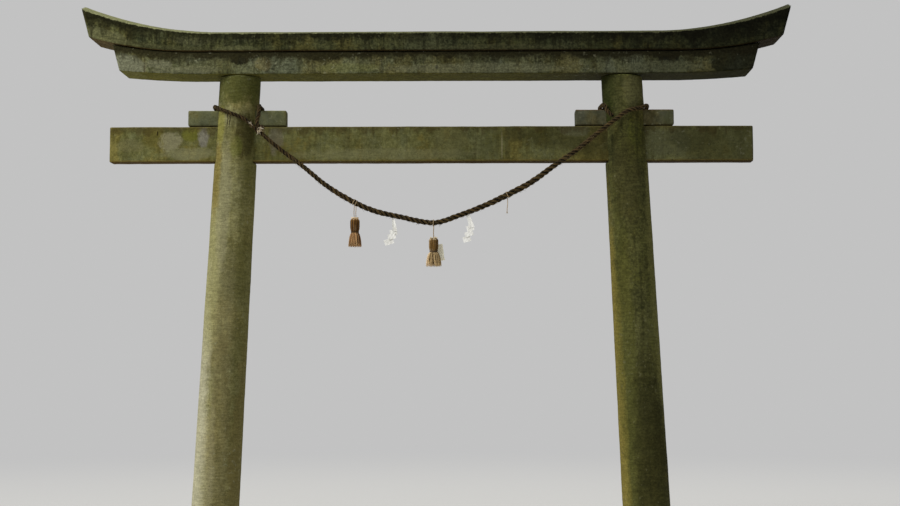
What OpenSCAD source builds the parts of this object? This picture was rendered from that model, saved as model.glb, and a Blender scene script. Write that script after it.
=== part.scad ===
// Torii gate of weathered stone: two round leaning pillars, a tie beam with wedges,
// a double lintel with upturned ends, and a straw rope with tassels and paper streamers.
// Millimetres. X runs across the gate, Y from its front (-Y) to its back, Z up from the ground.
// The origin is at ground level, under the middle of the lintels.

/* [Pillars] */
// Distance between the middles of the two pillars at the ground
pillar_spacing = 3030; // [2960:5:3100]
// Middle of the pair of pillars, measured from the middle of the lintels
pillar_offset = -35; // [-60:5:60]
// Inward lean of each pillar in degrees
pillar_lean = 2.8; // [2:0.1:3.6]
// Height of the pillars, from the ground to the lower lintel
pillar_h = 3485; // [3400:5:3700]
// Diameter of a pillar at the ground
foot_d = 340; // [320:2:360]
// Diameter of a pillar under the lower lintel
top_d = 292; // [270:2:300]

/* [Tie beam] */
// How far the underside of the tie beam is below the lower lintel
tie_drop = 605; // [560:5:720]
// Height of the tie beam's section
tie_h = 255; // [220:5:275]
// Thickness of the tie beam from front to back
tie_depth = 125; // [110:1:150]
// Length of the tie beam
tie_len = 4510; // [4200:10:4600]
// Chamfer along the edges of the tie beam and the wedges
edge_chamfer = 7; // [3:1:12]

/* [Wedges] */
// Height of a wedge above the tie beam
wedge_h = 115; // [90:5:120]
// Thickness of a wedge from front to back
wedge_depth = 119; // [105:1:145]
// Reach of a wedge, from the middle of its pillar to its outer end
wedge_reach = 347; // [300:1:400]

/* [Lower lintel] */
// Height of the lower lintel in its level middle
lower_h = 163; // [140:1:190]
// Thickness of the lower lintel from front to back
lower_depth = 302; // [290:2:320]
// Length of the lower lintel at the height of its underside
lower_len = 4404; // [4200:4:4500]
// Where the underside of the lower lintel starts to rise, from the middle
lower_rise_x = 1650; // [1550:10:1800]
// Radius of the rising underside of the lower lintel
lower_rise_r = 5800; // [4500:100:8000]

/* [Upper lintel] */
// Height of the upper lintel's face in its level middle
upper_h = 128; // [110:1:170]
// Thickness of the upper lintel from front to back
upper_depth = 332; // [322:2:360]
// Length of the upper lintel at the height of its level underside
upper_len = 4790; // [4600:10:4900]
// Where the underside of the upper lintel starts to rise, from the middle
upper_rise_x = 1710; // [1650:10:1800]
// Where the top of the upper lintel starts to rise, from the middle
crown_rise_x = 1520; // [1500:10:1640]
// Radius of both rising curves of the upper lintel
upper_rise_r = 2650; // [2400:50:3000]
// Rise of the sloping top from the faces to the ridge
ridge_h = 44; // [20:2:60]
// Slant of the lintels' end faces in degrees, wider at the top
end_slant = 15.4; // [5:0.2:20]

/* [Rope and tassels] */
// Diameter of the rope where it goes round a pillar
rope_end_d = 28; // [25:1:31]
// Sides of the rope's section
rope_sides = 10; // [8:2:12]
// Diameter of the cord that a tassel hangs on
twine_d = 8; // [6:1:10]
// Length of cord between the rope and a tassel
twine_drop = 84; // [60:5:110]
// Diameter of a tassel's head
head_d = 66; // [60:2:80]
// Height of a tassel's head
head_h = 96; // [80:2:110]
// Radius of the rounded shoulder of a tassel's head
head_round = 20; // [10:1:26]
// Diameter of a tassel's neck
neck_d = 54; // [48:1:56]
// Height of the binding round a tassel's neck
binding_h = 12; // [8:1:16]
// Thickness of the binding round a tassel's neck
binding_t = 5; // [3:0.5:6]
// Height of a tassel's skirt under its neck
skirt_h = 92; // [70:2:110]
// Diameter of the left tassel's skirt at its lower end
left_skirt_d = 94; // [80:2:112]
// Diameter of the middle tassel's skirt at its lower end
middle_skirt_d = 110; // [84:2:112]
// Length of the bare cord where a third tassel is missing
bare_len = 110; // [60:5:140]
// Wall of the lashing that ties the rope's tail to the rope at the left pillar
knot_wall = 7; // [4:1:10]
// Length of that lashing along the rope
knot_len = 34; // [24:2:40]

/* [Paper streamers] */
// Thickness of a folded streamer
paper_t = 1.5; // [1:0.5:2.5]
// Overlap of two panels where the paper is folded
panel_lap = 8; // [4:1:12]
// How far a panel leans sideways over its height
panel_lean = 10; // [0:1:16]

/* [Places along the rope] */
// Left tassel, from the middle of the lintels
left_tassel_x = -553; // [-650:1:-480]
// Middle tassel
middle_tassel_x = -10; // [-60:1:40]
// Bare cord of the missing tassel
bare_cord_x = 499; // [420:1:600]
// Left streamer
left_streamer_x = -281; // [-340:1:-240]
// Right streamer
right_streamer_x = 225; // [190:1:300]

/* [Hidden] */

LEFT = -1;
RIGHT = 1;
// Clearance between two pieces that are seated on each other
seat_gap = 0.3;
// Length by which a cutting shape stands past what it cuts
spare = 60;
// Half the gap between the two wedges that meet inside a pillar
wedge_meet = 0.5;
// Sides used for the pillars, and for the lintels' large arcs
PILLAR_FN = 96;
ARC_FN = 720;

tie_z = pillar_h - tie_drop;
tie_top = tie_z + tie_h;
wedge_z = tie_top + seat_gap;
wedge_top = wedge_z + wedge_h;
lower_top = pillar_h + lower_h;
upper_z = lower_top + seat_gap;
crown_z = upper_z + upper_h;
// Height that the tallest block of the lintels is cut from
block_h = 2 * (lower_h + upper_h);
// Reach of the rising arcs to each side
arc_reach = 3000;
// Angle of arc that covers each upturned end
arc_turn = 40;

// The rope's turn round each pillar as x and y from the pillar's middle, height of the
// rope's underside over the wedges' tops, and diameter, drawn for a turn of this radius
// and a rope of this diameter
turn_drawn_r = 168;
rope_drawn_d = 28;
left_turn = [
    [196, -168, -168, 28], [154, -168, -128, 28], [162, -142, -52, 28], [160, -106, 4, 28],
    [156, -64, 6, 28], [156, 64, 1, 28], [64, 156, 1, 28], [-64, 156, 1, 28],
    [-156, 64, 1, 28], [-156, -64, 8, 28], [-98, -140, -24, 28], [-28, -168, -54, 28]];
right_turn = [
    [-68, -170, -102, 30], [17, -170, -43, 30], [96, -142, -22, 29], [156, -64, 8, 28],
    [156, 64, 1, 28], [64, 156, 1, 28], [-64, 156, 1, 28], [-156, 64, 1, 28],
    [-156, -64, 7, 28], [-142, -108, 4, 28], [-120, -134, -44, 28], [-88, -158, -78, 28]];
// The hanging span as x from the middle between the pillars, drawn for this half distance
// between them, then y, height over the wedges' tops, and diameter
span_drawn_x = 1355;
span = [
    [-1285, -168, -84, 28], [-1189, -168, -167, 28], [-1045, -166, -289, 29],
    [-885, -165, -409, 32], [-725, -165, -541, 35], [-560, -165, -645, 38],
    [-390, -165, -722, 38], [-215, -165, -764, 37], [20, -165, -807, 37],
    [190, -165, -760, 38], [360, -165, -696, 40], [530, -165, -617, 43],
    [700, -165, -526, 42], [860, -165, -411, 38], [1010, -166, -307, 34],
    [1150, -168, -194, 31]];
// Room between the rope's turn and the pillar
turn_room = 7.5;
// The lashing sits on the rope at this point of the span
knot_at = 1;
// Distance between the middles of the rope and its tail inside the lashing, and the room
// round them
knot_apart = rope_end_d + 4;
knot_room = 1.5;
// Rings of the rope for each step of its route
RINGS = 2;

turn_z = wedge_top + rope_end_d / 2;
turn_half = pillar_spacing / 2 - turn_z * tan(pillar_lean);
// Radius of the pillar at the turn, with room for the rope
turn_r = turn_z * (top_d - foot_d) / (2 * pillar_h) + foot_d / 2 + rope_end_d / 2
    + turn_room;

// How far a pillar's middle has moved inwards at height z
function lean_x(side, z) = pillar_offset + side * (pillar_spacing / 2 - z * tan(pillar_lean));

function turn(points, side) = [for (p = points)
    [pillar_offset + side * turn_half + p[0] * turn_r / turn_drawn_r,
        p[1] * turn_r / turn_drawn_r, turn_z + p[2], p[3] * rope_end_d / rope_drawn_d]];
function hang(points) = [for (p = points)
    [pillar_offset + p[0] * turn_half / span_drawn_x, p[1] * turn_r / turn_drawn_r,
        wedge_top + p[2], p[3] * rope_end_d / rope_drawn_d]];
rope_route = concat(turn(left_turn, LEFT), hang(span), turn(right_turn, RIGHT));

// A point at t along the smooth curve through four points
function curve(a, b, c, d, t) =
    0.5 * (2 * b + t * (c - a) + t * t * (2 * a - 5 * b + 4 * c - d)
        + t * t * t * (3 * b - a - 3 * c + d));
function smooth(route, n) =
    let (last = len(route) - 1)
    [for (i = [0:last - 1], k = [0:n - 1])
        curve(route[max(i - 1, 0)], route[i], route[i + 1], route[min(i + 2, last)], k / n),
        route[last]];
rope_rings = smooth(rope_route, RINGS);
// The rings of the hanging span alone
span_rings = [for (i = [RINGS * len(left_turn) : RINGS * (len(left_turn) + len(span))])
    rope_rings[i]];

function unit(v) = v / norm(v);
function place(p) = [p[0], p[1], p[2]];
function heading(route, i) =
    unit(place(route[min(i + 1, len(route) - 1)]) - place(route[max(i - 1, 0)]));
// The points of one ring of a cord, square to its heading
function ring(p, way, sides, up) =
    let (across = unit(cross(way, up)), rise = cross(across, way), r = p[3] / 2)
    [for (k = [0:sides - 1])
        let (a = 90 + k * 360 / sides) place(p) + r * (cos(a) * across + sin(a) * rise)];

// Height, depth and diameter of the hanging span at x
function span_z(x) = lookup(x, [for (p = span_rings) [p[0], p[2]]]);
function span_y(x) = lookup(x, [for (p = span_rings) [p[0], p[1]]]);
function span_d(x) = lookup(x, [for (p = span_rings) [p[0], p[3]]]);
// Slope of the span over the width w of what hangs at x
function span_slope(x, w) = abs(span_z(x + w / 2) - span_z(x - w / 2)) / w;
// Height of the rope's underside at x, for a piece w wide that is seated under it
function hang_z(x, w) =
    let (s = span_slope(x, w))
    span_z(x) - span_d(x) / 2 * sqrt(1 + s * s) - s * w / 2 - seat_gap;

// Panels of the two outer streamers: left edge from where it hangs, width and height
left_panels = [[-12, 26, 72], [-33, 54, 48], [-50, 64, 46], [-74, 68, 50]];
right_panels = [[-13, 28, 62], [-2, 48, 72], [-28, 64, 52], [-44, 66, 48]];
// Left and right edge of the middle streamer's panels from the middle tassel's axis,
// behind the head and beside the skirt
behind_head = [-8, 60];
beside_skirt = [24, 78];
// How far under the head's top the middle streamer starts, and its length beside the skirt
behind_head_top = 40;
beside_skirt_len = 52;

// A bar along X with its four long edges chamfered
module bar(len, depth, h) {
    c = edge_chamfer;
    y = depth / 2;
    rotate([90, 0, 90])
        linear_extrude(len)
            polygon([[-y + c, 0], [y - c, 0], [y, c], [y, h - c],
                [y - c, h], [-y + c, h], [-y, h - c], [-y, c]]);
}

// A tapering round pillar that leans inwards, cut level at the ground and under the lintel
module pillar(side) {
    run = pillar_h / cos(pillar_lean);
    taper = (foot_d - top_d) / run;
    difference() {
        intersection() {
            translate([lean_x(side, 0), 0, 0])
                rotate([0, -side * pillar_lean, 0])
                    translate([0, 0, -spare])
                        cylinder(h = run + 2 * spare, d1 = foot_d + taper * spare,
                            d2 = top_d - taper * spare, $fn = PILLAR_FN);
            translate([lean_x(side, pillar_h / 2) - foot_d, -foot_d, 0])
                cube([2 * foot_d, 2 * foot_d, pillar_h - seat_gap]);
        }
        mortise(side, tie_z, tie_h, tie_depth);
        mortise(side, tie_z + tie_h / 2, tie_h / 2 + wedge_h + seat_gap, wedge_depth);
    }
}

// The hole through a pillar that a beam or a pair of wedges passes
module mortise(side, z, h, depth) {
    translate([lean_x(side, z) - foot_d, -depth / 2 - seat_gap, z - seat_gap])
        cube([2 * foot_d, depth + 2 * seat_gap, h + 2 * seat_gap]);
}

// A wedge driven into a pillar over the tie beam, towards one side of it
module wedge(side, way) {
    x = lean_x(side, wedge_z + wedge_h / 2);
    start = way > 0 ? x + wedge_meet : x - wedge_reach;
    translate([start, 0, wedge_z])
        bar(wedge_reach - wedge_meet, wedge_depth, wedge_h);
}

// Everything over a line that is level out to rise_x and then rises along an arc
module over(rise_x, z, r) {
    translate([-rise_x, z]) square([2 * rise_x, block_h]);
    for (side = [LEFT, RIGHT])
        intersection() {
            translate([side * rise_x, z + r]) circle(r = r, $fn = ARC_FN);
            translate([side > 0 ? rise_x - 1 : -arc_reach, z])
                square([arc_reach - rise_x + 1, block_h]);
        }
}

// The outline of a lintel's blank, with its ends slanted outwards
module blank(len, z) {
    out = block_h * tan(end_slant);
    polygon([[-len / 2, z], [len / 2, z], [len / 2 + out, z + block_h],
        [-len / 2 - out, z + block_h]]);
}

module upright(depth) {
    translate([0, depth / 2, 0]) rotate([90, 0, 0]) linear_extrude(depth) children();
}

module lower_lintel_body() {
    upright(lower_depth)
        difference() {
            intersection() {
                blank(lower_len, pillar_h);
                over(lower_rise_x, pillar_h, lower_rise_r);
            }
            over(upper_rise_x, lower_top, upper_rise_r);
        }
}

// The space over the sloping top of the upper lintel, as a section of y and height over
// the top edge of its faces, carried on past the faces to twice the lintel's thickness
function roof_space() = [[-upper_depth, -ridge_h], [0, ridge_h], [upper_depth, -ridge_h],
    [upper_depth, block_h], [-upper_depth, block_h]];

module roof_cut() {
    translate([-crown_rise_x, 0, crown_z])
        rotate([90, 0, 90]) linear_extrude(2 * crown_rise_x) polygon(roof_space());
    for (side = [LEFT, RIGHT])
        translate([side * crown_rise_x, 0, crown_z + upper_rise_r])
            mirror([side > 0 ? 0 : 1, 0, 0])
                rotate([90, 0, 0]) rotate([0, 0, -90])
                    rotate_extrude(angle = arc_turn, $fn = ARC_FN)
                        polygon([for (p = roof_space()) [upper_rise_r - p[1], p[0]]]);
}

module upper_lintel_body() {
    difference() {
        upright(upper_depth)
            intersection() {
                blank(upper_len, upper_z);
                over(upper_rise_x, upper_z, upper_rise_r);
            }
        roof_cut();
    }
}

// A cord swept along its rings of x, y, z and diameter
module cord(rings, sides, up = [0, 0, 1]) {
    last = len(rings) - 1;
    points = [for (i = [0:last]) each ring(rings[i], heading(rings, i), sides, up)];
    skin = [for (i = [0:last - 1], k = [0:sides - 1])
        let (a = i * sides + k, b = i * sides + (k + 1) % sides) [a, b, b + sides, a + sides]];
    ends = [[for (k = [sides - 1:-1:0]) k], [for (k = [0:sides - 1]) last * sides + k]];
    polyhedron(points = points, faces = concat(skin, ends), convexity = 8);
}

module twine(x, len) {
    top = hang_z(x, twine_d);
    y = span_y(x);
    cord([[x, y, top, twine_d], [x, y, top - len / 2, twine_d], [x, y, top - len, twine_d]],
        8, up = [0, 1, 0]);
}

// Height of the top of the tassel that hangs at x, and of the top of its skirt
function tassel_z(x) = hang_z(x, twine_d) - twine_drop;
function skirt_z(x) = tassel_z(x) - head_h - 2 * seat_gap - binding_h;

module at(x, z) {
    translate([x, span_y(x), z]) children();
}

module tassel_cord(x) {
    color("peru") twine(x, twine_drop + head_h - seat_gap);
}

// A round-shouldered bundle with the cord's hole down its middle
module tassel_head(x) {
    color("peru")
        at(x, tassel_z(x) - head_h)
            difference() {
                rotate_extrude($fn = 48) {
                    square([head_d / 2, head_h - head_round]);
                    square([head_d / 2 - head_round, head_h]);
                    translate([head_d / 2 - head_round, head_h - head_round])
                        intersection() {
                            circle(r = head_round);
                            square(head_round);
                        }
                }
                translate([0, 0, -spare])
                    cylinder(h = head_h + 2 * spare, d = twine_d + 2 * seat_gap, $fn = 24);
            }
}

module tassel_binding(x) {
    color("sienna")
        at(x, skirt_z(x) + seat_gap)
            rotate_extrude($fn = 48)
                translate([neck_d / 2 + seat_gap, 0]) square([binding_t, binding_h]);
}

module tassel_skirt(x, lower_d) {
    color("sandybrown")
        at(x, skirt_z(x) - skirt_h) {
            cylinder(h = skirt_h, d1 = lower_d, d2 = head_d, $fn = 48);
            cylinder(h = skirt_h + binding_h + seat_gap, d = neck_d, $fn = 48);
        }
}

// A flat sheet of paper between two edges, down from z = 0, with its front face at y = 0
module panel(left, right, h, lean) {
    translate([0, paper_t, 0])
        rotate([90, 0, 0])
            linear_extrude(paper_t)
                polygon([[left, 0], [right, 0], [right + lean, -h], [left + lean, -h]]);
}

// Height of the first i panels, less the laps of their folds
function above(panels, i) = i == 0 ? 0 : panels[i - 1][2] - panel_lap + above(panels, i - 1);

// A folded paper streamer whose panels lie by turns in front of and behind each other
module streamer(x, panels) {
    color("white")
        at(x, hang_z(x, panels[0][1]))
            for (i = [0:len(panels) - 1])
                translate([0, (i % 2 - 0.5) * paper_t, -above(panels, i)])
                    panel(panels[i][0], panels[i][0] + panels[i][1], panels[i][2], panel_lean);
}

// The streamer that lies against the back of the middle tassel
module back_streamer(x) {
    flare = atan((middle_skirt_d - head_d) / (2 * skirt_h));
    top = tassel_z(x) - behind_head_top;
    color("white")
        at(x, top)
            translate([0, head_d / 2 + seat_gap, 0]) {
                panel(behind_head[0], behind_head[1], top - skirt_z(x), 0);
                translate([0, 0, skirt_z(x) - top])
                    rotate([flare, 0, 0])
                        translate([0, 0, paper_t])
                            panel(beside_skirt[0], beside_skirt[1], beside_skirt_len, 0);
            }
}

module left_pillar() { color("darkkhaki") pillar(LEFT); }
module right_pillar() { color("olivedrab") pillar(RIGHT); }
module tie_beam() {
    color("darkkhaki") translate([pillar_offset - tie_len / 2, 0, tie_z])
        bar(tie_len, tie_depth, tie_h);
}
module left_outer_wedge() { color("gray") wedge(LEFT, LEFT); }
module left_inner_wedge() { color("gray") wedge(LEFT, RIGHT); }
module right_inner_wedge() { color("gray") wedge(RIGHT, LEFT); }
module right_outer_wedge() { color("gray") wedge(RIGHT, RIGHT); }
module lower_lintel() { color("dimgray") lower_lintel_body(); }
module upper_lintel() { color("dimgray") upper_lintel_body(); }
module straw_rope() { color("saddlebrown") cord(rope_rings, rope_sides); }
// The outline round the rope and its tail, side by side
module side_by_side(d, apart) {
    circle(d = d, $fn = 48);
    translate([0, -d / 2]) square([apart, d]);
    translate([apart, 0]) circle(d = d, $fn = 48);
}
// A lashing wound round the rope and its tail
module rope_knot() {
    at_rope = RINGS * (len(left_turn) + knot_at);
    p = rope_rings[at_rope];
    way = heading(rope_rings, at_rope);
    hole_d = p[3] + 2 * knot_room;
    color("tan") translate(place(p))
        rotate([0, atan2(way[0], way[2]), 0]) rotate([0, 0, 180])
            translate([0, 0, -knot_len / 2])
                difference() {
                    linear_extrude(knot_len) side_by_side(hole_d + 2 * knot_wall, knot_apart);
                    translate([0, 0, -spare])
                        linear_extrude(knot_len + 2 * spare) side_by_side(hole_d, knot_apart);
                }
}
module left_tassel_cord() { tassel_cord(left_tassel_x); }
module left_tassel_head() { tassel_head(left_tassel_x); }
module left_tassel_binding() { tassel_binding(left_tassel_x); }
module left_tassel_skirt() { tassel_skirt(left_tassel_x, left_skirt_d); }
module middle_tassel_cord() { tassel_cord(middle_tassel_x); }
module middle_tassel_head() { tassel_head(middle_tassel_x); }
module middle_tassel_binding() { tassel_binding(middle_tassel_x); }
module middle_tassel_skirt() { tassel_skirt(middle_tassel_x, middle_skirt_d); }
module bare_tassel_cord() { color("tan") twine(bare_cord_x, bare_len); }
module left_streamer() { streamer(left_streamer_x, left_panels); }
module middle_streamer() { back_streamer(middle_tassel_x); }
module right_streamer() { streamer(right_streamer_x, right_panels); }

left_pillar();
right_pillar();
tie_beam();
left_outer_wedge();
left_inner_wedge();
right_inner_wedge();
right_outer_wedge();
lower_lintel();
upper_lintel();
straw_rope();
rope_knot();
left_tassel_cord();
left_tassel_head();
left_tassel_binding();
left_tassel_skirt();
middle_tassel_cord();
middle_tassel_head();
middle_tassel_binding();
middle_tassel_skirt();
bare_tassel_cord();
left_streamer();
middle_streamer();
right_streamer();
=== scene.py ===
"""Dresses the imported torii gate: worn mossy stone, a twisted straw rope and its hangings."""
import logging
import math
from dataclasses import dataclass
from enum import Enum
from functools import cache
from typing import Any, Callable, Dict, List, Optional, Sequence, Tuple, Union

import bpy
import numpy as np
from mathutils import Matrix, Vector


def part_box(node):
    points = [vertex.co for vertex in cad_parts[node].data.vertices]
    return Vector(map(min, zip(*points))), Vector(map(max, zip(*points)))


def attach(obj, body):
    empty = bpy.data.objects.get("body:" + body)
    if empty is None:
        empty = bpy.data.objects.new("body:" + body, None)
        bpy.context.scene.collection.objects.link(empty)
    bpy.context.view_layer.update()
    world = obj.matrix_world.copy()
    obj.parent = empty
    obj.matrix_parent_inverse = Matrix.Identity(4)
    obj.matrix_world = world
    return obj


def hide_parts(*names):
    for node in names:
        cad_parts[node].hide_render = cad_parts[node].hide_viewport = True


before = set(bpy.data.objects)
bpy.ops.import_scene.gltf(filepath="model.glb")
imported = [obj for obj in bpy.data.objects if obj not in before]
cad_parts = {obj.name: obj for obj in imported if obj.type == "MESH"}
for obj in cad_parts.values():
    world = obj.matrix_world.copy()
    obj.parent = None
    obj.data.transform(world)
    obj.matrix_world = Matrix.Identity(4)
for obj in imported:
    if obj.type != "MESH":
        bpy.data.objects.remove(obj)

log = logging.getLogger("torii")
Point = Tuple[float, float, float]
Tone = Tuple[float, float, float]
Colour = Tuple[float, float, float, float]
Row = Tuple[float, ...]
Rows = Tuple[Row, ...]
Amounts = Union[float, np.ndarray]
Inputs = Dict[Union[int, str], Any]
Piece = bpy.types.Object

BODY = "root"
TURN = 2 * math.pi
GOLDEN_ANGLE = 2.39996
# The pillars' distance at the ground, their middle, and their inward lean, as in the CAD
PILLAR_SPACING = 3.030
PILLAR_OFFSET = -0.035
PILLAR_LEAN = math.radians(2.8)


class Side(Enum):
    """Which side a piece is on, of the gate or of a pair."""

    LEFT = -1
    RIGHT = 1


def paint(tone: Tone, light: float = 1.0) -> Colour:
    """Turns a colour as it is seen, 0 to 255, into the shader's own.

    Args:
        tone: Red, green and blue as they look on a screen.
        light: How much lighter or darker it is made.

    Returns:
        The linear colour with a full alpha.
    """
    linear = [(c / 255 / 12.92 if c <= 10 else ((c / 255 + 0.055) / 1.055) ** 2.4) * light
              for c in tone]
    return (linear[0], linear[1], linear[2], 1.0)


# ---------------------------------------------------------------- shader maths


class Socket:
    """A node's output, on which Python's own signs add Math nodes."""

    def __init__(self, graph: "Graph", port: bpy.types.NodeSocket) -> None:
        """Keeps the output and the graph that it belongs to."""
        self.graph = graph
        self.port = port

    def maths(self, operation: str, *terms: "Value") -> "Socket":
        """Returns the output of a new Math node."""
        return self.graph.node("ShaderNodeMath", {"operation": operation},
                               dict(enumerate(terms)))

    def __add__(self, other: "Value") -> "Socket":
        """Returns self + other."""
        return self.maths("ADD", self, other)

    __radd__ = __add__

    def __sub__(self, other: "Value") -> "Socket":
        """Returns self - other."""
        return self.maths("SUBTRACT", self, other)

    def __rsub__(self, other: "Value") -> "Socket":
        """Returns other - self."""
        return self.maths("SUBTRACT", other, self)

    def __mul__(self, other: "Value") -> "Socket":
        """Returns self * other."""
        return self.maths("MULTIPLY", self, other)

    __rmul__ = __mul__

    def __truediv__(self, other: "Value") -> "Socket":
        """Returns self / other."""
        return self.maths("DIVIDE", self, other)

    def __abs__(self) -> "Socket":
        """Returns the size of self."""
        return self.maths("ABSOLUTE", self)

    def most(self, other: "Value") -> "Socket":
        """Returns the larger of the two."""
        return self.maths("MAXIMUM", self, other)


Value = Union[Socket, float]
Hue = Union[Socket, Colour]


class Graph:
    """The nodes of a material, or of the sky, round the shader that it starts with."""

    def __init__(self, name: str, sky: bool = False) -> None:
        """Starts a material, or a sky.

        Args:
            name: Its name.
            sky: Whether it is a sky.
        """
        self.owner = (bpy.data.worlds if sky else bpy.data.materials).new(name)
        self.owner.use_nodes = True
        self.tree = self.owner.node_tree
        self.shader = self.tree.nodes["Background" if sky else "Principled BSDF"]
        self.end = self.tree.nodes["World Output" if sky else "Material Output"]

    def feed(self, node: bpy.types.Node, inputs: Inputs) -> None:
        """Joins outputs to a node's sockets, and sets those that get a plain value.

        Args:
            node: The node.
            inputs: Numbers, colours or outputs, by the sockets' names or places.
        """
        for name, value in inputs.items():
            if isinstance(value, Socket):
                self.tree.links.new(value.port, node.inputs[name])
            else:
                node.inputs[name].default_value = value

    def node(self, kind: str, settings: Optional[Dict[str, Any]] = None,
             inputs: Optional[Inputs] = None, output: Union[int, str] = 0) -> Socket:
        """Adds any node.

        Args:
            kind: The node's type.
            settings: Its own settings, set first.
            inputs: Numbers, colours or outputs for its sockets.
            output: Which of its outputs is wanted.

        Returns:
            That output.
        """
        made = self.tree.nodes.new(kind)
        for name, value in (settings or {}).items():
            setattr(made, name, value)
        self.feed(made, inputs or {})
        return Socket(self, made.outputs[output])

    @cache
    def spot(self) -> Socket:
        """Returns the place on the piece, in metres."""
        return self.node("ShaderNodeTexCoord", output="Object")

    @cache
    def axis(self, index: int) -> Socket:
        """Returns the place along X, Y or Z."""
        return self.node("ShaderNodeSeparateXYZ", inputs={0: self.spot()}, output=index)

    @cache
    def upwards(self) -> Socket:
        """Returns how far the surface faces up, from -1 to 1."""
        normal = self.node("ShaderNodeNewGeometry", output="Normal")
        return self.node("ShaderNodeSeparateXYZ", inputs={0: normal}, output=2)

    def noise(self, scale: float, detail: float = 2.0, rough: float = 0.5,
              stretch: Point = (1, 1, 1), shift: Point = (0, 0, 0),
              spot: Optional[Socket] = None) -> Socket:
        """Adds clouds of noise.

        Args:
            scale: Clouds in a metre.
            detail: How many finer layers lie on them.
            rough: How strong those are.
            stretch: How much closer they lie along each axis.
            shift: Moves the pattern.
            spot: Where it is read, if not on the piece's own place.

        Returns:
            The noise, about 0.5 on average.
        """
        placed = self.node("ShaderNodeMapping",
                           inputs={"Vector": spot or self.spot(), "Scale": stretch,
                                   "Location": shift})
        return self.node("ShaderNodeTexNoise",
                         inputs={"Vector": placed, "Scale": scale, "Detail": detail,
                                 "Roughness": rough})

    def step(self, value: Socket, low: float, high: float) -> Socket:
        """Makes a smooth step.

        Args:
            value: What is measured.
            low: Where the step is still 0; it may be the larger of the two.
            high: Where the step has reached 1.

        Returns:
            The step, from 0 to 1.
        """
        if low > high:
            return 1.0 - self.step(value, high, low)
        return self.node("ShaderNodeMapRange", {"interpolation_type": "SMOOTHSTEP"},
                         {"Value": value, "From Min": low, "From Max": high})

    def blend(self, under: Hue, over: Hue, amount: Value, way: str = "MIX") -> Socket:
        """Lays one colour over another.

        Args:
            under: The colour below.
            over: The colour laid on it.
            amount: How much of it shows, 0 to 1.
            way: How the two join.

        Returns:
            The joined colour.
        """
        return self.node("ShaderNodeMix",
                         {"data_type": "RGBA", "blend_type": way, "clamp_factor": True},
                         {0: amount, 6: under, 7: over}, output=2)

    def bump(self, height: Socket, depth: float, under: Optional[Socket] = None) -> Socket:
        """Bumps the surface.

        Args:
            height: How high it stands, 0 to 1.
            depth: What a height of 1 is in metres.
            under: The bumped normal that this one is laid on.

        Returns:
            The bumped normal.
        """
        below = {} if under is None else {"Normal": under}
        return self.node("ShaderNodeBump", inputs={"Height": height, "Distance": depth,
                                                   "Strength": 1.0, **below})

    def finish(self, colour: Hue, roughness: Value, normal: Optional[Socket] = None,
               specular: float = 0.5) -> bpy.types.Material:
        """Joins the results to the shader.

        Args:
            colour: The base colour.
            roughness: The roughness.
            normal: The bumped normal.
            specular: How much it mirrors.

        Returns:
            The material.
        """
        self.feed(self.shader, {"Base Color": colour, "Roughness": roughness,
                                "Specular IOR Level": specular})
        if normal is not None:
            self.feed(self.shader, {"Normal": normal})
        return self.owner

    def lay_over(self, shader: Socket, amount: Socket) -> None:
        """Lays another shader over the one that it starts with.

        Args:
            shader: The other shader.
            amount: How much of it shows, 0 to 1.
        """
        own = Socket(self, self.shader.outputs[0])
        mixed = self.node("ShaderNodeMixShader", inputs={0: amount, 1: own, 2: shader})
        self.feed(self.end, {"Surface": mixed})


# ---------------------------------------------------------------- finishes


# What a stone's colour is multiplied by where its hue drifts
WARM = (1.20, 1.0, 0.68, 1.0)
COOL = (0.90, 0.96, 1.25, 1.0)


@dataclass(frozen=True)
class StainAndLightPatch:
    """A patch on a stone, mostly real staining and on the pillars some painted light and shade:
    its middle, reach, colour and strength, and how soft its edge is.
    """

    x: float
    z: float
    reach_x: float
    reach_z: float
    tone: Tone
    strength: float
    soft: float = 0.5
    ragged: float = 3.0


@dataclass(frozen=True)
class DripAndShadow:
    """Dark runs down from a level, mostly of water; the lower lintel's first is painted shadow
    under the upper lintel.
    """

    top: float
    depth: float
    tone: Tone
    strength: float
    runs: float = 9.0


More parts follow.
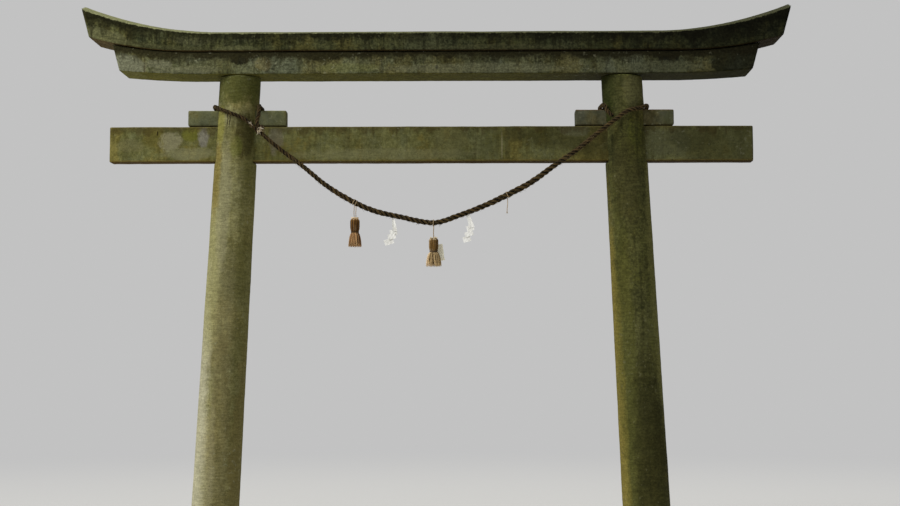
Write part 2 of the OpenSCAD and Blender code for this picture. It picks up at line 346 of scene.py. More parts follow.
@dataclass(frozen=True)
class StoneFinish:
    """Old stone in a damp wood: grain, clouds, water runs, algae, stains and mossy tops.

    Its hue drifts between warm and cool, and a painted light falls away from its left end to
    its right. Its undersides take a tone that is partly real staining and partly painted shade,
    and some patches, tops and runs are painted light and shade, as each finish notes. On a
    lintel the height is laid flat beyond rise_x, along an arc of radius rise_r.
    """

    name: str
    pale: Tone
    dark: Tone
    algae: Tone
    algae_share: float
    # The top tone is mossy growth; on the lower lintel it is painted shadow under the upper
    # lintel.
    moss: Tone = (150, 150, 92)
    moss_strength: float = 0.6
    run_tone: Tone = (46, 44, 28)
    run_strength: float = 0.35
    lichen: Tone = (150, 150, 122)
    lichen_strength: float = 0.3
    # Undersides take a tone that is partly real staining and partly painted shade; towards the
    # right end it can be dimmed further as painted shade.
    under: Tone = (84, 70, 34)
    under_strength: float = 0.5
    under_shade_right: float = 1.0
    drift: float = 0.6
    speckle: float = 0.34
    tooled: float = 0.24
    # Painted light: the colour is scaled from left_light at the left end down to right_light at
    # the right end.
    left_light: float = 1.0
    right_light: float = 1.0
    reach: float = 2.4
    rise_x: float = 9.0
    rise_r: float = 1.0
    axis: float = 0.0
    lean: float = 0.0
    stains: Tuple[StainAndLightPatch, ...] = ()
    drips_and_shadow: Tuple[DripAndShadow, ...] = ()
    seed: float = 0.0

    def across(self, g: Graph) -> Socket:
        """Returns the place across the stone, from the pillar's axis where it leans."""
        return g.axis(0) - self.axis - g.axis(2) * self.lean

    def height(self, g: Graph) -> Socket:
        """Returns the height on the stone, with a lintel's upturned ends laid flat."""
        beyond = (abs(g.axis(0)) - self.rise_x).most(0.0)
        return g.axis(2) - beyond * beyond / (2 * self.rise_r)

    def lay_stains_and_light(self, g: Graph, colour: Socket, edge: Socket) -> Socket:
        """Lays the single patches over the stone's colour: real staining, and on the pillars
        painted light and shade.

        Args:
            g: The material's graph.
            colour: The colour so far.
            edge: Noise that makes their edges ragged.

        Returns:
            The stained colour.
        """
        x, z = self.across(g), self.height(g)
        for stain in self.stains:
            dx, dz = (x - stain.x) / stain.reach_x, (z - stain.z) / stain.reach_z
            far = dx * dx + dz * dz + (edge - 0.5) * stain.ragged
            shown = g.step(far, 1 + stain.soft, 1 - stain.soft) * stain.strength
            colour = g.blend(colour, paint(stain.tone), shown)
        return colour

    def lay_runs_and_shadow(self, g: Graph, colour: Socket, edge: Socket) -> Socket:
        """Lays the dark runs over the stone's colour, runs of water and painted shadow alike.

        Args:
            g: The material's graph.
            colour: The colour so far.
            edge: Noise that makes their edges ragged.

        Returns:
            The colour with the runs.
        """
        z = self.height(g)
        for i, streak in enumerate(self.drips_and_shadow):
            column = g.noise(streak.runs, 4, 0.62, (1, 0.35, 0.05),
                             (self.seed + 3.1 * i, 1.7, 0.4))
            fall = (streak.top - z) / streak.depth - (column - 0.42) * 4.2 + (edge - 0.5) * 2.5
            colour = g.blend(colour, paint(streak.tone), g.step(fall, 0.8, 0.1) * streak.strength)
        return colour

    def lit(self, g: Graph) -> Socket:
        """Works out the painted light on the stone, falling evenly from its left end to its
        right.

        Args:
            g: The material's graph.

        Returns:
            What its colour is multiplied by.
        """
        share = g.node("ShaderNodeMapRange", {"clamp": True},
                       {"Value": g.axis(0), "From Min": -self.reach, "From Max": self.reach})
        fallen = g.node("ShaderNodeMath", {"operation": "POWER"},
                        {0: self.right_light / self.left_light, 1: share})
        return fallen * self.left_light

    def material(self) -> bpy.types.Material:
        """Builds the finish.

        Returns:
            The material.
        """
        g = Graph(self.name)
        here = (self.seed, self.seed * 0.7, 2.0)
        broad = g.noise(1.5, 3, 0.55, shift=here)
        cloud = g.noise(7.0, 4, 0.6, (1, 1, 0.6), here)
        blots = g.noise(24.0, 4, 0.7, shift=here)
        grain = g.noise(64.0, 4, 0.75, shift=here)
        tooling = g.noise(52.0, 3, 0.6, (0.3, 0.3, 1.7), here)
        grit = g.noise(330.0, 2, 0.6)
        runs = g.noise(22.0, 4, 0.65, (1, 1, 0.07), here)
        edge = g.noise(13.0, 6, 0.75, (1, 1, 0.7), (4.0, self.seed, 1.0))
        hue = g.noise(3.4, 5, 0.7, (1, 1, 0.7), (self.seed, 5.0, 7.0))
        green = g.noise(2.6, 4, 0.6, (1, 1, 0.5), (9.0, self.seed, 3.0))
        tone = broad * 0.25 + cloud * 0.3 + blots * 0.27 + grain * 0.18
        colour = g.blend(paint(self.dark), paint(self.pale), g.step(tone, 0.41, 0.59))
        colour = g.blend(colour, paint(self.algae),
                         g.step(green * 0.7 + grain * 0.3, 0.62 - 0.24 * self.algae_share,
                                0.7 - 0.12 * self.algae_share) * 0.75)
        for tint, full in ((WARM, 0.6), (COOL, 0.4)):
            colour = g.blend(colour, tint, g.step(hue, 0.5, full) * self.drift, "MULTIPLY")
        colour = g.blend(colour, paint(self.run_tone),
                         g.step(runs, 0.5, 0.66) * self.run_strength)
        colour = self.lay_stains_and_light(g, colour, edge)
        colour = self.lay_runs_and_shadow(g, colour, edge)
        up = g.upwards()
        # Underside tone: partly real staining, partly painted shade, darker towards the right
        # end as more painted shade.
        underside_and_shade = g.blend(paint(self.under), paint(self.under, self.under_shade_right),
                          g.step(g.axis(0), 0.5, 1.3))
        colour = g.blend(colour, underside_and_shade,
                         g.step(up, -0.5, -0.9) * (0.6 + 0.4 * cloud) * self.under_strength)
        # Up-facing tops take the top tone: mossy growth, and on the lower lintel painted
        # shadow.
        mossy = g.step(up + (grain + blots - 1.0) * 0.9, 0.25, 0.62)
        colour = g.blend(colour, paint(self.moss), mossy * self.moss_strength)
        pits = g.step(g.noise(105.0, 3, 0.55, shift=here), 0.64, 0.72)
        colour = g.blend(colour, paint(self.run_tone, 0.4), pits * 0.6)
        crust = g.step(g.noise(38.0, 4, 0.6, shift=(self.seed, 8.0, 1.0)) * 0.75 + broad * 0.25,
                       0.6, 0.66)
        colour = g.blend(colour, paint(self.lichen), crust * self.lichen_strength)
        spotted = 1 - self.speckle / 2 + g.step(grain, 0.36, 0.64) * self.speckle
        spotted = spotted * (1 - self.tooled / 2 + g.step(tooling, 0.38, 0.62) * self.tooled)
        spotted = spotted * (1.08 - g.step(grit, 0.45, 0.7) * 0.3)
        colour = g.node("ShaderNodeVectorMath", {"operation": "SCALE"},
                        {0: colour, "Scale": self.lit(g) * spotted})
        rough = 0.92 - 0.1 * g.step(grain, 0.4, 0.7)
        relief = g.bump(cloud * 0.5 + grain * 0.3 + tooling * 0.2, 0.006)
        relief = g.bump(grit * 0.6 + grain * 0.4 - pits * 0.6, 0.0020, relief)
        return g.finish(colour, rough, relief, specular=0.05)


@dataclass(frozen=True)
class StrawFinish:
    """Rice straw, weathered: each straw has its own shade, and its tips may be sun-paled; the
    same pale tone paints highlights on straws that are lit.
    """

    name: str
    pale: Tone
    dark: Tone
    tip_and_highlight: Tone = (206, 184, 138)
    grey: Tone = (120, 110, 92)
    grey_share: float = 0.3
    along_uv: bool = False

    def material(self) -> bpy.types.Material:
        """Builds the finish.

        Returns:
            The material.
        """
        g = Graph(self.name)
        shade = g.node("ShaderNodeAttribute", {"attribute_name": "shade"}, output="Fac")
        if self.along_uv:
            uv = g.node("ShaderNodeUVMap", {"uv_map": "UVMap"})
            fibres = g.noise(1.0, 3, 0.6, (16.0, 26.0, 1.0), spot=uv)
            fine = g.noise(1.0, 2, 0.6, (60.0, 90.0, 1.0), spot=uv)
        else:
            fibres = g.noise(90.0, 3, 0.6, (1, 1, 0.12))
            fine = g.noise(420.0, 2, 0.6, (1, 1, 0.06))
        patch = g.noise(24.0, 3, 0.6, shift=(3.0, 1.0, 5.0))
        tone = shade * 0.45 + fibres * 0.3 + fine * 0.25
        colour = g.blend(paint(self.dark), paint(self.pale), g.step(tone, 0.3, 0.72))
        colour = g.blend(colour, paint(self.grey), g.step(patch, 0.52, 0.7) * self.grey_share)
        # Above a shade of 1 a straw turns to the pale tone of the tips: paler tips, and painted
        # highlights where a straw is lit from the left or from above.
        colour = g.blend(colour, paint(self.tip_and_highlight), g.step(shade, 1.0, 1.5))
        relief = g.bump(fibres * 0.4 + fine * 0.6, 0.0012)
        return g.finish(colour, 0.86 - fine * 0.2, relief, specular=0.1)


@dataclass(frozen=True)
class PaperFinish:
    """White folded paper, a little soft and grey from the weather."""

    name: str
    pale: Tone = (234, 233, 227)
    worn: Tone = (212, 210, 202)
    grimy: Tone = (150, 142, 112)

    def material(self) -> bpy.types.Material:
        """Builds the finish.

        Returns:
            The material.
        """
        g = Graph(self.name)
        cloud = g.noise(26.0, 3, 0.6)
        fibre = g.noise(240.0, 3, 0.65, (1, 1, 0.4))
        colour = g.blend(paint(self.worn), paint(self.pale),
                         g.step(cloud * 0.7 + fibre * 0.3, 0.34, 0.56))
        edge = g.step(g.noise(60.0, 3, 0.6, (1, 1, 0.3), (2.0, 2.0, 2.0)), 0.62, 0.75)
        colour = g.blend(colour, paint(self.grimy), edge * 0.15)
        return g.finish(colour, 0.86 + fibre * 0.08, g.bump(fibre * 0.6 + cloud * 0.4, 0.0003),
                        0.25)


# ---------------------------------------------------------------- making pieces


def clear_selection() -> None:
    """Leaves nothing selected and nothing in edit mode."""
    if bpy.context.object and bpy.context.object.mode != "OBJECT":
        bpy.ops.object.mode_set(mode="OBJECT")
    bpy.ops.object.select_all(action="DESELECT")


def pick(piece: Piece) -> None:
    """Selects one piece alone and makes it the active one.

    Args:
        piece: The piece.
    """
    clear_selection()
    piece.select_set(True)
    bpy.context.view_layer.objects.active = piece


def make(operator: Callable[..., Any], **settings: Any) -> Piece:
    """Runs an operator that adds something, with nothing else selected.

    Args:
        operator: The operator.
        settings: What it is given.

    Returns:
        What it added.
    """
    clear_selection()
    operator(**settings)
    return bpy.context.object


def add_object(name: str, mesh: bpy.types.Mesh) -> Piece:
    """Adds an object at the origin that shows a mesh.

    Args:
        name: The object's name.
        mesh: The mesh.

    Returns:
        The object.
    """
    piece = bpy.data.objects.new(name, mesh)
    bpy.context.scene.collection.objects.link(piece)
    return piece


def apply_modifier(piece: Piece, kind: str, **settings: Any) -> None:
    """Adds a modifier to the piece and applies it.

    Args:
        piece: The piece.
        kind: The modifier's type.
        settings: Its settings.
    """
    pick(piece)
    modifier = piece.modifiers.new(kind.lower(), kind)
    for name, value in settings.items():
        setattr(modifier, name, value)
    bpy.ops.object.modifier_apply(modifier=modifier.name)


def join(name: str, parts: Sequence[Piece]) -> Piece:
    """Joins several parts into one piece.

    Args:
        name: The piece's name.
        parts: The parts, all at the origin.

    Returns:
        The joined piece.
    """
    clear_selection()
    for part in parts:
        part.select_set(True)
    bpy.context.view_layer.objects.active = parts[0]
    if len(parts) > 1:
        bpy.ops.object.join()
    piece = bpy.context.object
    piece.name = name
    piece.data.name = name
    return piece


def settle(piece: Piece) -> None:
    """Puts the piece's place, turn and scale into its mesh."""
    pick(piece)
    bpy.ops.object.transform_apply(location=True, rotation=True, scale=True)


def smooth_by_angle(piece: Piece, degrees: float) -> None:
    """Shades the piece smooth, apart from its arrises sharper than that angle."""
    pick(piece)
    bpy.ops.object.shade_smooth_by_angle(angle=math.radians(degrees))


def dress(piece: Piece, material: bpy.types.Material, slot: str,
          *replaced: str) -> Piece:
    """Gives a piece its finish and its place in the frame.

    Args:
        piece: The finished piece.
        material: Its material.
        slot: The record's material slot; it is not used.
        replaced: The CAD nodes that it stands for.

    Returns:
        The piece.
    """
    piece.data.materials.clear()
    piece.data.materials.append(material)
    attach(piece, BODY)
    if replaced:
        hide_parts(*replaced)
    log.info("%s: %d faces", piece.name, len(piece.data.polygons))
    return piece


def set_shade(mesh: bpy.types.Mesh, values: Amounts) -> None:
    """Writes how light each straw is into the mesh's "shade" attribute.

    Args:
        mesh: The mesh.
        values: How light it is, as a whole or at each point.
    """
    layer = mesh.attributes.get("shade") or mesh.attributes.new("shade", "FLOAT", "POINT")
    every = np.broadcast_to(values, len(mesh.vertices))
    layer.data.foreach_set("value", every.astype(np.float32))


def unit(way: np.ndarray) -> np.ndarray:
    """Returns a direction brought to a length of 1."""
    return way / np.linalg.norm(way)


def steer(line: np.ndarray) -> Tuple[np.ndarray, np.ndarray, np.ndarray]:
    """Works out directions that follow a line without twisting about it.

    Args:
        line: The points of the line.

    Returns:
        At each point, the way ahead and two directions square to it.
    """
    ahead = np.gradient(line, axis=0)
    ahead /= np.linalg.norm(ahead, axis=1)[:, None]
    side = np.zeros_like(line)
    start = np.cross(ahead[0], (0.0, 0.0, 1.0))
    if np.linalg.norm(start) < 0.1:
        start = np.cross(ahead[0], (0.0, 1.0, 0.0))
    side[0] = unit(start)
    for i in range(1, len(line)):
        side[i] = unit(side[i - 1] - ahead[i] * (side[i - 1] @ ahead[i]))
    return ahead, side, np.cross(ahead, side)


def node_box(node: str) -> Tuple[Vector, Vector, Vector]:
    """Returns the lowest and highest corner of a CAD node, and its middle."""
    low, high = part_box(node)
    return low, high, (low + high) / 2


def run_along(line: np.ndarray) -> np.ndarray:
    """Returns how far along a line each of its points is."""
    return np.concatenate([[0.0], np.cumsum(np.linalg.norm(np.diff(line, axis=0), axis=1))])


def points_of(piece: Piece) -> np.ndarray:
    """Returns a piece's points as rows of X, Y and Z."""
    return np.array([v.co for v in piece.data.vertices])


def sweep(name: str, line: np.ndarray, radii: Amounts, sides: int, flutes: int = 0,
          flute_depth: float = 0.0, flute_turn: float = 0.0, shade: float = 0.5) -> Piece:
    """Sweeps a closed tube along a line, with its straws as flutes round it.

    Args:
        name: The tube's name.
        line: The points that it follows.
        radii: Its radius, or one at each point.
        sides: The sides of its ring.
        flutes: How many straws show round it.
        flute_depth: How deep the gaps between them are, as a share of the radius.
        flute_turn: How much they wind round it in a metre, in turns.
        shade: How light its straws are.

    Returns:
        The tube, closed at both ends.
    """
    count = len(line)
    _, side, rise = steer(line)
    run = run_along(line)
    angle = np.arange(sides) * TURN / sides
    wave = 1 + flute_depth * np.cos(flutes * angle + TURN * flute_turn * run[:, None])
    reach = np.broadcast_to(radii, count)[:, None] * wave
    ring = (line[:, None] + (reach * np.cos(angle))[..., None] * side[:, None]
            + (reach * np.sin(angle))[..., None] * rise[:, None])
    points = np.concatenate([ring.reshape(-1, 3), line[:1], line[-1:]])
    first, end = count * sides, (count - 1) * sides
    after = [(k + 1) % sides for k in range(sides)]
    faces = [(i + k, i + after[k], i + sides + after[k], i + sides + k)
             for i in range(0, end, sides) for k in range(sides)]
    faces += [(first, after[k], k) for k in range(sides)]
    faces += [(first + 1, end + k, end + after[k]) for k in range(sides)]
    mesh = bpy.data.meshes.new(name)
    mesh.from_pydata(points.tolist(), [], faces)
    u, v = np.meshgrid(np.arange(sides) / sides, run[:-1])
    next_u, next_v = u + 1 / sides, np.broadcast_to(run[1:, None], u.shape)
    quads = np.stack([u, v, next_u, v, next_u, next_v, u, next_v], axis=-1).reshape(-1, 2)
    caps = np.tile((0.0, run[-1]), (len(mesh.loops) - len(quads), 1))
    layer = mesh.uv_layers.new(name="UVMap")
    layer.data.foreach_set("uv", np.concatenate([quads, caps]).astype(np.float32).ravel())
    set_shade(mesh, shade)
    mesh.shade_smooth()
    return add_object(name, mesh)


def lay_twine(name: str, line: np.ndarray, thick: float, shade: float) -> Piece:
    """Returns a twine of two yarns of that radius along a line."""
    return sweep(name, line, thick, 8, flutes=2, flute_depth=0.22, flute_turn=70.0, shade=shade)


def lay_straw(name: str, line: np.ndarray, ends: Row, sides: int, shade: float) -> Piece:
    """Returns a plain straw along a line, with the radii given for its two ends."""
    return sweep(name, line, np.linspace(*ends, len(line)), sides, shade=shade)


def around(radius: float, angle: float, z: float = 0.0) -> Vector:
    """Returns the point at that distance and angle from the Z axis."""
    return Vector((radius * math.cos(angle), radius * math.sin(angle), z))


# ---------------------------------------------------------------- the stones


@dataclass
class WornStone:
    """A stone of the gate: its CAD solid with rounded arrises and a weathered, uneven skin."""

    node: str
    slot: str
    finish: StoneFinish
    arris: float = 0.004
    sharp: float = 25.0
    skin: float = 0.008
    hollow: float = 0.30
    hollow_depth: float = 0.004
    pock: float = 0.045
    pock_depth: float = 0.0016
    smooth: float = 60.0

    def carve(self) -> Piece:
        """Rounds the arrises and gives the stone a skin of small even faces.

        Returns:
            The stone.
        """
        piece = add_object("worn_" + self.node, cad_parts[self.node].data.copy())
        pick(piece)
        bpy.ops.object.mode_set(mode="EDIT")
        bpy.ops.mesh.select_all(action="SELECT")
        bpy.ops.mesh.remove_doubles(threshold=1e-5)
        bpy.ops.mesh.dissolve_limited(angle_limit=math.radians(0.5))
        bpy.ops.mesh.select_all(action="DESELECT")
        bpy.ops.mesh.edges_select_sharp(sharpness=math.radians(self.sharp))
        bpy.ops.mesh.bevel(offset=self.arris, segments=2, clamp_overlap=True)
        bpy.ops.object.mode_set(mode="OBJECT")
        apply_modifier(piece, "REMESH", mode="VOXEL", voxel_size=self.skin)
        apply_modifier(piece, "SMOOTH", factor=0.5, iterations=2)
        return piece

    def weather(self, piece: Piece) -> None:
        """Wears shallow hollows and small pocks into the stone, never outwards.

        Args:
            piece: The stone.
        """
        for kind, size, depth in (("hollows", self.hollow, self.hollow_depth),
                                  ("pocks", self.pock, self.pock_depth)):
            clouds = bpy.data.textures.new(self.node + "_" + kind, "CLOUDS")
            clouds.noise_scale, clouds.noise_depth = size, 3
            apply_modifier(piece, "DISPLACE", texture=clouds, strength=depth, mid_level=1.0,
                           texture_coords="LOCAL")
            bpy.data.textures.remove(clouds)
        smooth_by_angle(piece, self.smooth)

    def build(self) -> None:
        """Makes and dresses the stone."""
        piece = self.carve()
        self.weather(piece)
        dress(piece, self.finish.material(), self.slot, self.node)


def pillar_finish(name: str, side: Side, **looks: Any) -> StoneFinish:
    """A pillar's finish, read from its leaning axis.

    Args:
        name: The finish's name.
        side: Which pillar it is for.
        looks: The finish's colours and stains.

    Returns:
        The finish.
    """
    return StoneFinish(name, axis=PILLAR_OFFSET + side.value * PILLAR_SPACING / 2,
                       lean=-side.value * math.tan(PILLAR_LEAN), **looks)


LEFT_PILLAR = pillar_finish(
    "left_pillar_stone", Side.LEFT, pale=(140, 136, 92), dark=(104, 100, 60),
    algae=(92, 92, 46), algae_share=0.2, run_tone=(80, 76, 42), run_strength=0.35, seed=1.0,
    drift=0.3, speckle=0.24,
    stains=(
        StainAndLightPatch(-0.08, 1.8, 0.17, 0.5, (110, 105, 74), 0.5, 0.8),
        # Painted light: a pale patch down the lit left side of the lower shaft.
        StainAndLightPatch(-0.15, 0.65, 0.08, 1.3, (178, 174, 146), 0.72, 0.9),
        StainAndLightPatch(-0.11, 2.1, 0.07, 0.5, (150, 146, 98), 0.6, 0.7),
        StainAndLightPatch(-0.045, 2.55, 0.05, 0.44, (136, 132, 100), 0.5, 0.5),
        # Painted shade down the right edge of the shaft.
        StainAndLightPatch(0.145, 1.9, 0.075, 2.1, (92, 90, 48), 0.6, 0.7),
        StainAndLightPatch(0.02, 0.8, 0.07, 0.9, (100, 92, 58), 0.6, 0.7),
        StainAndLightPatch(-0.05, 0.58, 0.05, 0.56, (150, 144, 110), 0.4, 0.8),
        # Painted shade at the foot of the right edge, with a warm painted reflection in it.
        StainAndLightPatch(0.15, 0.4, 0.06, 1.1, (108, 98, 58), 0.6, 0.6),
        StainAndLightPatch(-0.112, 2.77, 0.034, 0.28, (124, 108, 50), 0.6, 0.8, 4.0),
        StainAndLightPatch(-0.105, 3.13, 0.036, 0.13, (122, 118, 52), 0.7, 0.5),
        StainAndLightPatch(0.07, 3.06, 0.062, 0.16, (56, 52, 24), 0.75, 0.5),
        StainAndLightPatch(0.02, 2.98, 0.04, 0.07, (104, 108, 46), 0.4, 0.6),
        # A darker band at the top of the shaft under the lower lintel: partly dark mossy
        # growth, partly painted shadow of the lintels.
        StainAndLightPatch(0.0, 3.42, 0.22, 0.14, (62, 66, 26), 0.8, 0.6),
    ))
RIGHT_PILLAR = pillar_finish(
    "right_pillar_stone", Side.RIGHT, pale=(84, 83, 46), dark=(54, 54, 27),
    algae=(70, 72, 28), algae_share=0.4, run_tone=(36, 36, 17), run_strength=0.45, seed=5.0,
    moss=(98, 102, 46), lichen=(116, 114, 84), drift=0.3,
    stains=(
        # Painted light: the lit left edge of the shaft is lighter and warmer.
        StainAndLightPatch(-0.155, 1.0, 0.045, 1.5, (122, 110, 52), 0.8, 0.6),
        StainAndLightPatch(-0.085, 1.4, 0.06, 1.2, (72, 72, 32), 0.6, 0.6),
        # Painted shade over the right half of the lower shaft.
        StainAndLightPatch(0.04, 0.6, 0.12, 1.0, (44, 43, 20), 0.75, 0.6),
        StainAndLightPatch(-0.02, 2.75, 0.1, 0.3, (54, 50, 26), 0.55, 0.6),
        StainAndLightPatch(0.145, 2.1, 0.045, 0.9, (98, 96, 54), 0.6, 0.6),
        # Painted shade: these two darken the left side of the shaft's top.
        StainAndLightPatch(-0.13, 3.35, 0.06, 0.22, (38, 44, 15), 0.75, 0.6),
        StainAndLightPatch(-0.06, 3.42, 0.06, 0.12, (50, 52, 26), 0.6, 0.6),
        # Painted light: the right side of the shaft's top is lighter.
        StainAndLightPatch(0.06, 3.37, 0.075, 0.12, (82, 81, 52), 0.65, 0.6),
    ))
TIE_BEAM = StoneFinish(
    "tie_beam_stone", pale=(117, 116, 71), dark=(86, 85, 46), algae=(78, 76, 32),
    algae_share=0.3, run_tone=(60, 54, 28), run_strength=0.35, left_light=1.15,
    right_light=0.42, moss=(122, 112, 62), seed=9.0, drift=0.65, speckle=0.2, tooled=0.14,
    # Its dark underside tone is partly real staining and partly painted shade.
    under=(60, 34, 14), under_strength=0.9,
    stains=(
        StainAndLightPatch(-2.14, 3.0, 0.1, 0.05, (104, 100, 66), 0.5, 0.4),
        StainAndLightPatch(-1.98, 3.06, 0.09, 0.08, (92, 84, 36), 0.6, 0.5),
        StainAndLightPatch(-1.86, 3.03, 0.085, 0.065, (134, 130, 100), 0.7, 0.45, 5.0),
        StainAndLightPatch(-1.72, 3.08, 0.06, 0.055, (96, 96, 34), 0.75, 0.4),
        StainAndLightPatch(-1.63, 3.07, 0.034, 0.07, (128, 124, 116), 0.65, 0.6, 6.0),
        StainAndLightPatch(-1.73, 2.94, 0.18, 0.045, (124, 122, 88), 0.65, 0.5),
        StainAndLightPatch(-1.95, 3.085, 0.006, 0.018, (34, 28, 14), 0.9, 0.3),
        StainAndLightPatch(-1.12, 3.04, 0.05, 0.085, (118, 112, 94), 0.6, 0.6, 5.0),
        StainAndLightPatch(-0.33, 2.935, 0.62, 0.04, (119, 117, 80), 0.6, 0.6),
        StainAndLightPatch(0.1, 3.04, 0.12, 0.1, (108, 106, 68), 0.45, 0.6),
        StainAndLightPatch(0.465, 3.0, 0.005, 0.1, (150, 142, 108), 0.55, 0.4, 1.0),
        StainAndLightPatch(0.54, 3.08, 0.08, 0.06, (66, 64, 35), 0.6, 0.5),
        StainAndLightPatch(0.95, 3.05, 0.35, 0.09, (56, 54, 28), 0.5, 0.6),
        StainAndLightPatch(0.97, 3.1, 0.09, 0.045, (104, 103, 76), 0.6, 0.5),
        StainAndLightPatch(1.1, 2.96, 0.08, 0.06, (72, 69, 36), 0.55, 0.5),
        StainAndLightPatch(1.62, 3.02, 0.16, 0.1, (97, 98, 70), 0.55, 0.5),
        StainAndLightPatch(2.12, 3.02, 0.38, 0.18, (80, 80, 47), 0.5, 0.6),
        StainAndLightPatch(1.8, 3.06, 0.19, 0.1, (68, 68, 40), 0.55, 0.6),
        StainAndLightPatch(0.0, 2.889, 9.0, 0.007, (122, 104, 50), 0.5, 0.6, 2.0),
    ),
    drips_and_shadow=(DripAndShadow(3.135, 0.05, (68, 58, 30), 0.55, 14.0),))
LEFT_WEDGES = StoneFinish(
    "left_wedge_stone", pale=(101, 102, 71), dark=(78, 79, 51), algae=(74, 77, 40),
    algae_share=0.3, run_strength=0.3, moss=(132, 132, 88), seed=12.0, speckle=0.1,
    tooled=0.08)
RIGHT_WEDGES = StoneFinish(
    "right_wedge_stone", pale=(82, 81, 60), dark=(58, 58, 40), algae=(58, 60, 34),
    algae_share=0.3, run_strength=0.3, moss=(110, 80, 52), seed=14.0, speckle=0.1,
    tooled=0.08)
LOWER_LINTEL = StoneFinish(
    "lower_lintel_stone", pale=(96, 98, 70), dark=(62, 63, 39), algae=(62, 64, 32),
    algae_share=0.2, run_tone=(36, 34, 20), run_strength=0.5, left_light=1.6,
    # The underside tone is partly real staining and partly painted shade, dimmed further
    # towards the right end as painted shade; the dark top tone is painted shadow under the
    # upper lintel.
    right_light=0.42, rise_x=1.65, rise_r=5.8, under=(84, 80, 24), under_strength=0.97,
    under_shade_right=0.42, speckle=0.6, moss=(36, 34, 19), moss_strength=0.85, seed=17.0,
    stains=(
        StainAndLightPatch(-2.16, 3.53, 0.13, 0.08, (98, 99, 79), 0.85, 0.3, 2.0),
        StainAndLightPatch(-2.03, 3.54, 0.006, 0.05, (50, 44, 26), 0.7, 0.4, 1.0),
        StainAndLightPatch(-1.94, 3.555, 0.1, 0.03, (100, 100, 78), 0.6, 0.4),
        StainAndLightPatch(-1.88, 3.51, 0.1, 0.03, (96, 96, 72), 0.6, 0.4),
        StainAndLightPatch(-1.66, 3.52, 0.14, 0.03, (102, 102, 76), 0.6, 0.4),
        StainAndLightPatch(-1.55, 3.55, 0.22, 0.04, (84, 84, 56), 0.4, 0.5),
        StainAndLightPatch(-1.36, 3.61, 0.08, 0.06, (24, 22, 12), 0.9, 0.3, 4.0),
        StainAndLightPatch(-1.2, 3.56, 0.06, 0.05, (96, 84, 50), 0.4, 0.5),
        StainAndLightPatch(0.012, 3.533, 0.012, 0.014, (12, 10, 6), 1.0, 0.3, 1.0),
        StainAndLightPatch(0.3, 3.525, 0.62, 0.036, (110, 110, 83), 0.5, 0.5),
        StainAndLightPatch(-0.62, 3.53, 0.2, 0.036, (104, 106, 62), 0.45, 0.6),
        StainAndLightPatch(1.62, 3.61, 0.085, 0.05, (20, 20, 12), 0.9, 0.3, 4.0),
        StainAndLightPatch(1.6, 3.53, 0.26, 0.045, (98, 100, 74), 0.5, 0.35),
        StainAndLightPatch(2.14, 3.56, 0.24, 0.11, (26, 27, 14), 0.8, 0.25, 2.0),
    ),
    # The first, narrow and darkest run is painted shadow under the upper lintel.
    drips_and_shadow=(DripAndShadow(3.628, 0.03, (30, 29, 15), 0.9, 7.0),
           DripAndShadow(3.628, 0.055, (40, 37, 20), 0.6, 26.0)))
UPPER_LINTEL = StoneFinish(
    "upper_lintel_stone", pale=(68, 69, 42), dark=(38, 40, 22), algae=(48, 51, 25),
    algae_share=0.3, moss=(116, 117, 82), moss_strength=0.8, run_tone=(20, 20, 9),
    run_strength=0.65, left_light=2.1, right_light=0.38, rise_x=1.62, rise_r=2.65,
    # Its dark underside tone is partly real staining and partly painted shade.
    under=(60, 44, 22), under_strength=0.85, seed=21.0, lichen=(100, 100, 70), speckle=0.6,
    stains=(
        StainAndLightPatch(-2.3, 3.67, 0.17, 0.045, (78, 78, 52), 0.7, 0.5),
        StainAndLightPatch(-1.85, 3.66, 0.55, 0.02, (57, 57, 35), 0.6, 0.5),
        StainAndLightPatch(-1.38, 3.66, 0.16, 0.024, (76, 77, 50), 0.65, 0.5),
        StainAndLightPatch(-1.7, 3.72, 0.16, 0.03, (60, 60, 40), 0.5, 0.5),
        StainAndLightPatch(0.45, 3.668, 0.48, 0.022, (72, 72, 48), 0.5, 0.5),
        StainAndLightPatch(1.1, 3.752, 0.75, 0.042, (28, 29, 16), 0.5, 0.5),
        StainAndLightPatch(2.1, 3.73, 0.4, 0.06, (20, 22, 12), 0.6, 0.6),
    ),
    drips_and_shadow=(DripAndShadow(3.79, 0.045, (18, 18, 8), 0.8, 6.0),
           DripAndShadow(3.79, 0.085, (24, 23, 11), 0.6, 24.0)))


@dataclass
class StoneFrame:
    """The standing stones, the tie beam with its wedges, and the two lintels."""

    stones: Tuple[Tuple[str, str, StoneFinish], ...] = (
        ("left_pillar", "pillar_stone", LEFT_PILLAR),
        ("right_pillar", "mossy_stone", RIGHT_PILLAR),
        ("tie_beam", "beam_stone", TIE_BEAM),
        ("left_outer_wedge", "wedge_stone", LEFT_WEDGES),
        ("left_inner_wedge", "wedge_stone", LEFT_WEDGES),
        ("right_inner_wedge", "wedge_stone", RIGHT_WEDGES),
        ("right_outer_wedge", "wedge_stone", RIGHT_WEDGES),
        ("lower_lintel", "lintel_stone", LOWER_LINTEL),
        ("upper_lintel", "dark_stone", UPPER_LINTEL),
    )

    def build(self) -> None:
        """Makes every stone."""
        for node, slot, finish in self.stones:
            WornStone(node, slot, finish).build()


# ---------------------------------------------------------------- the rope


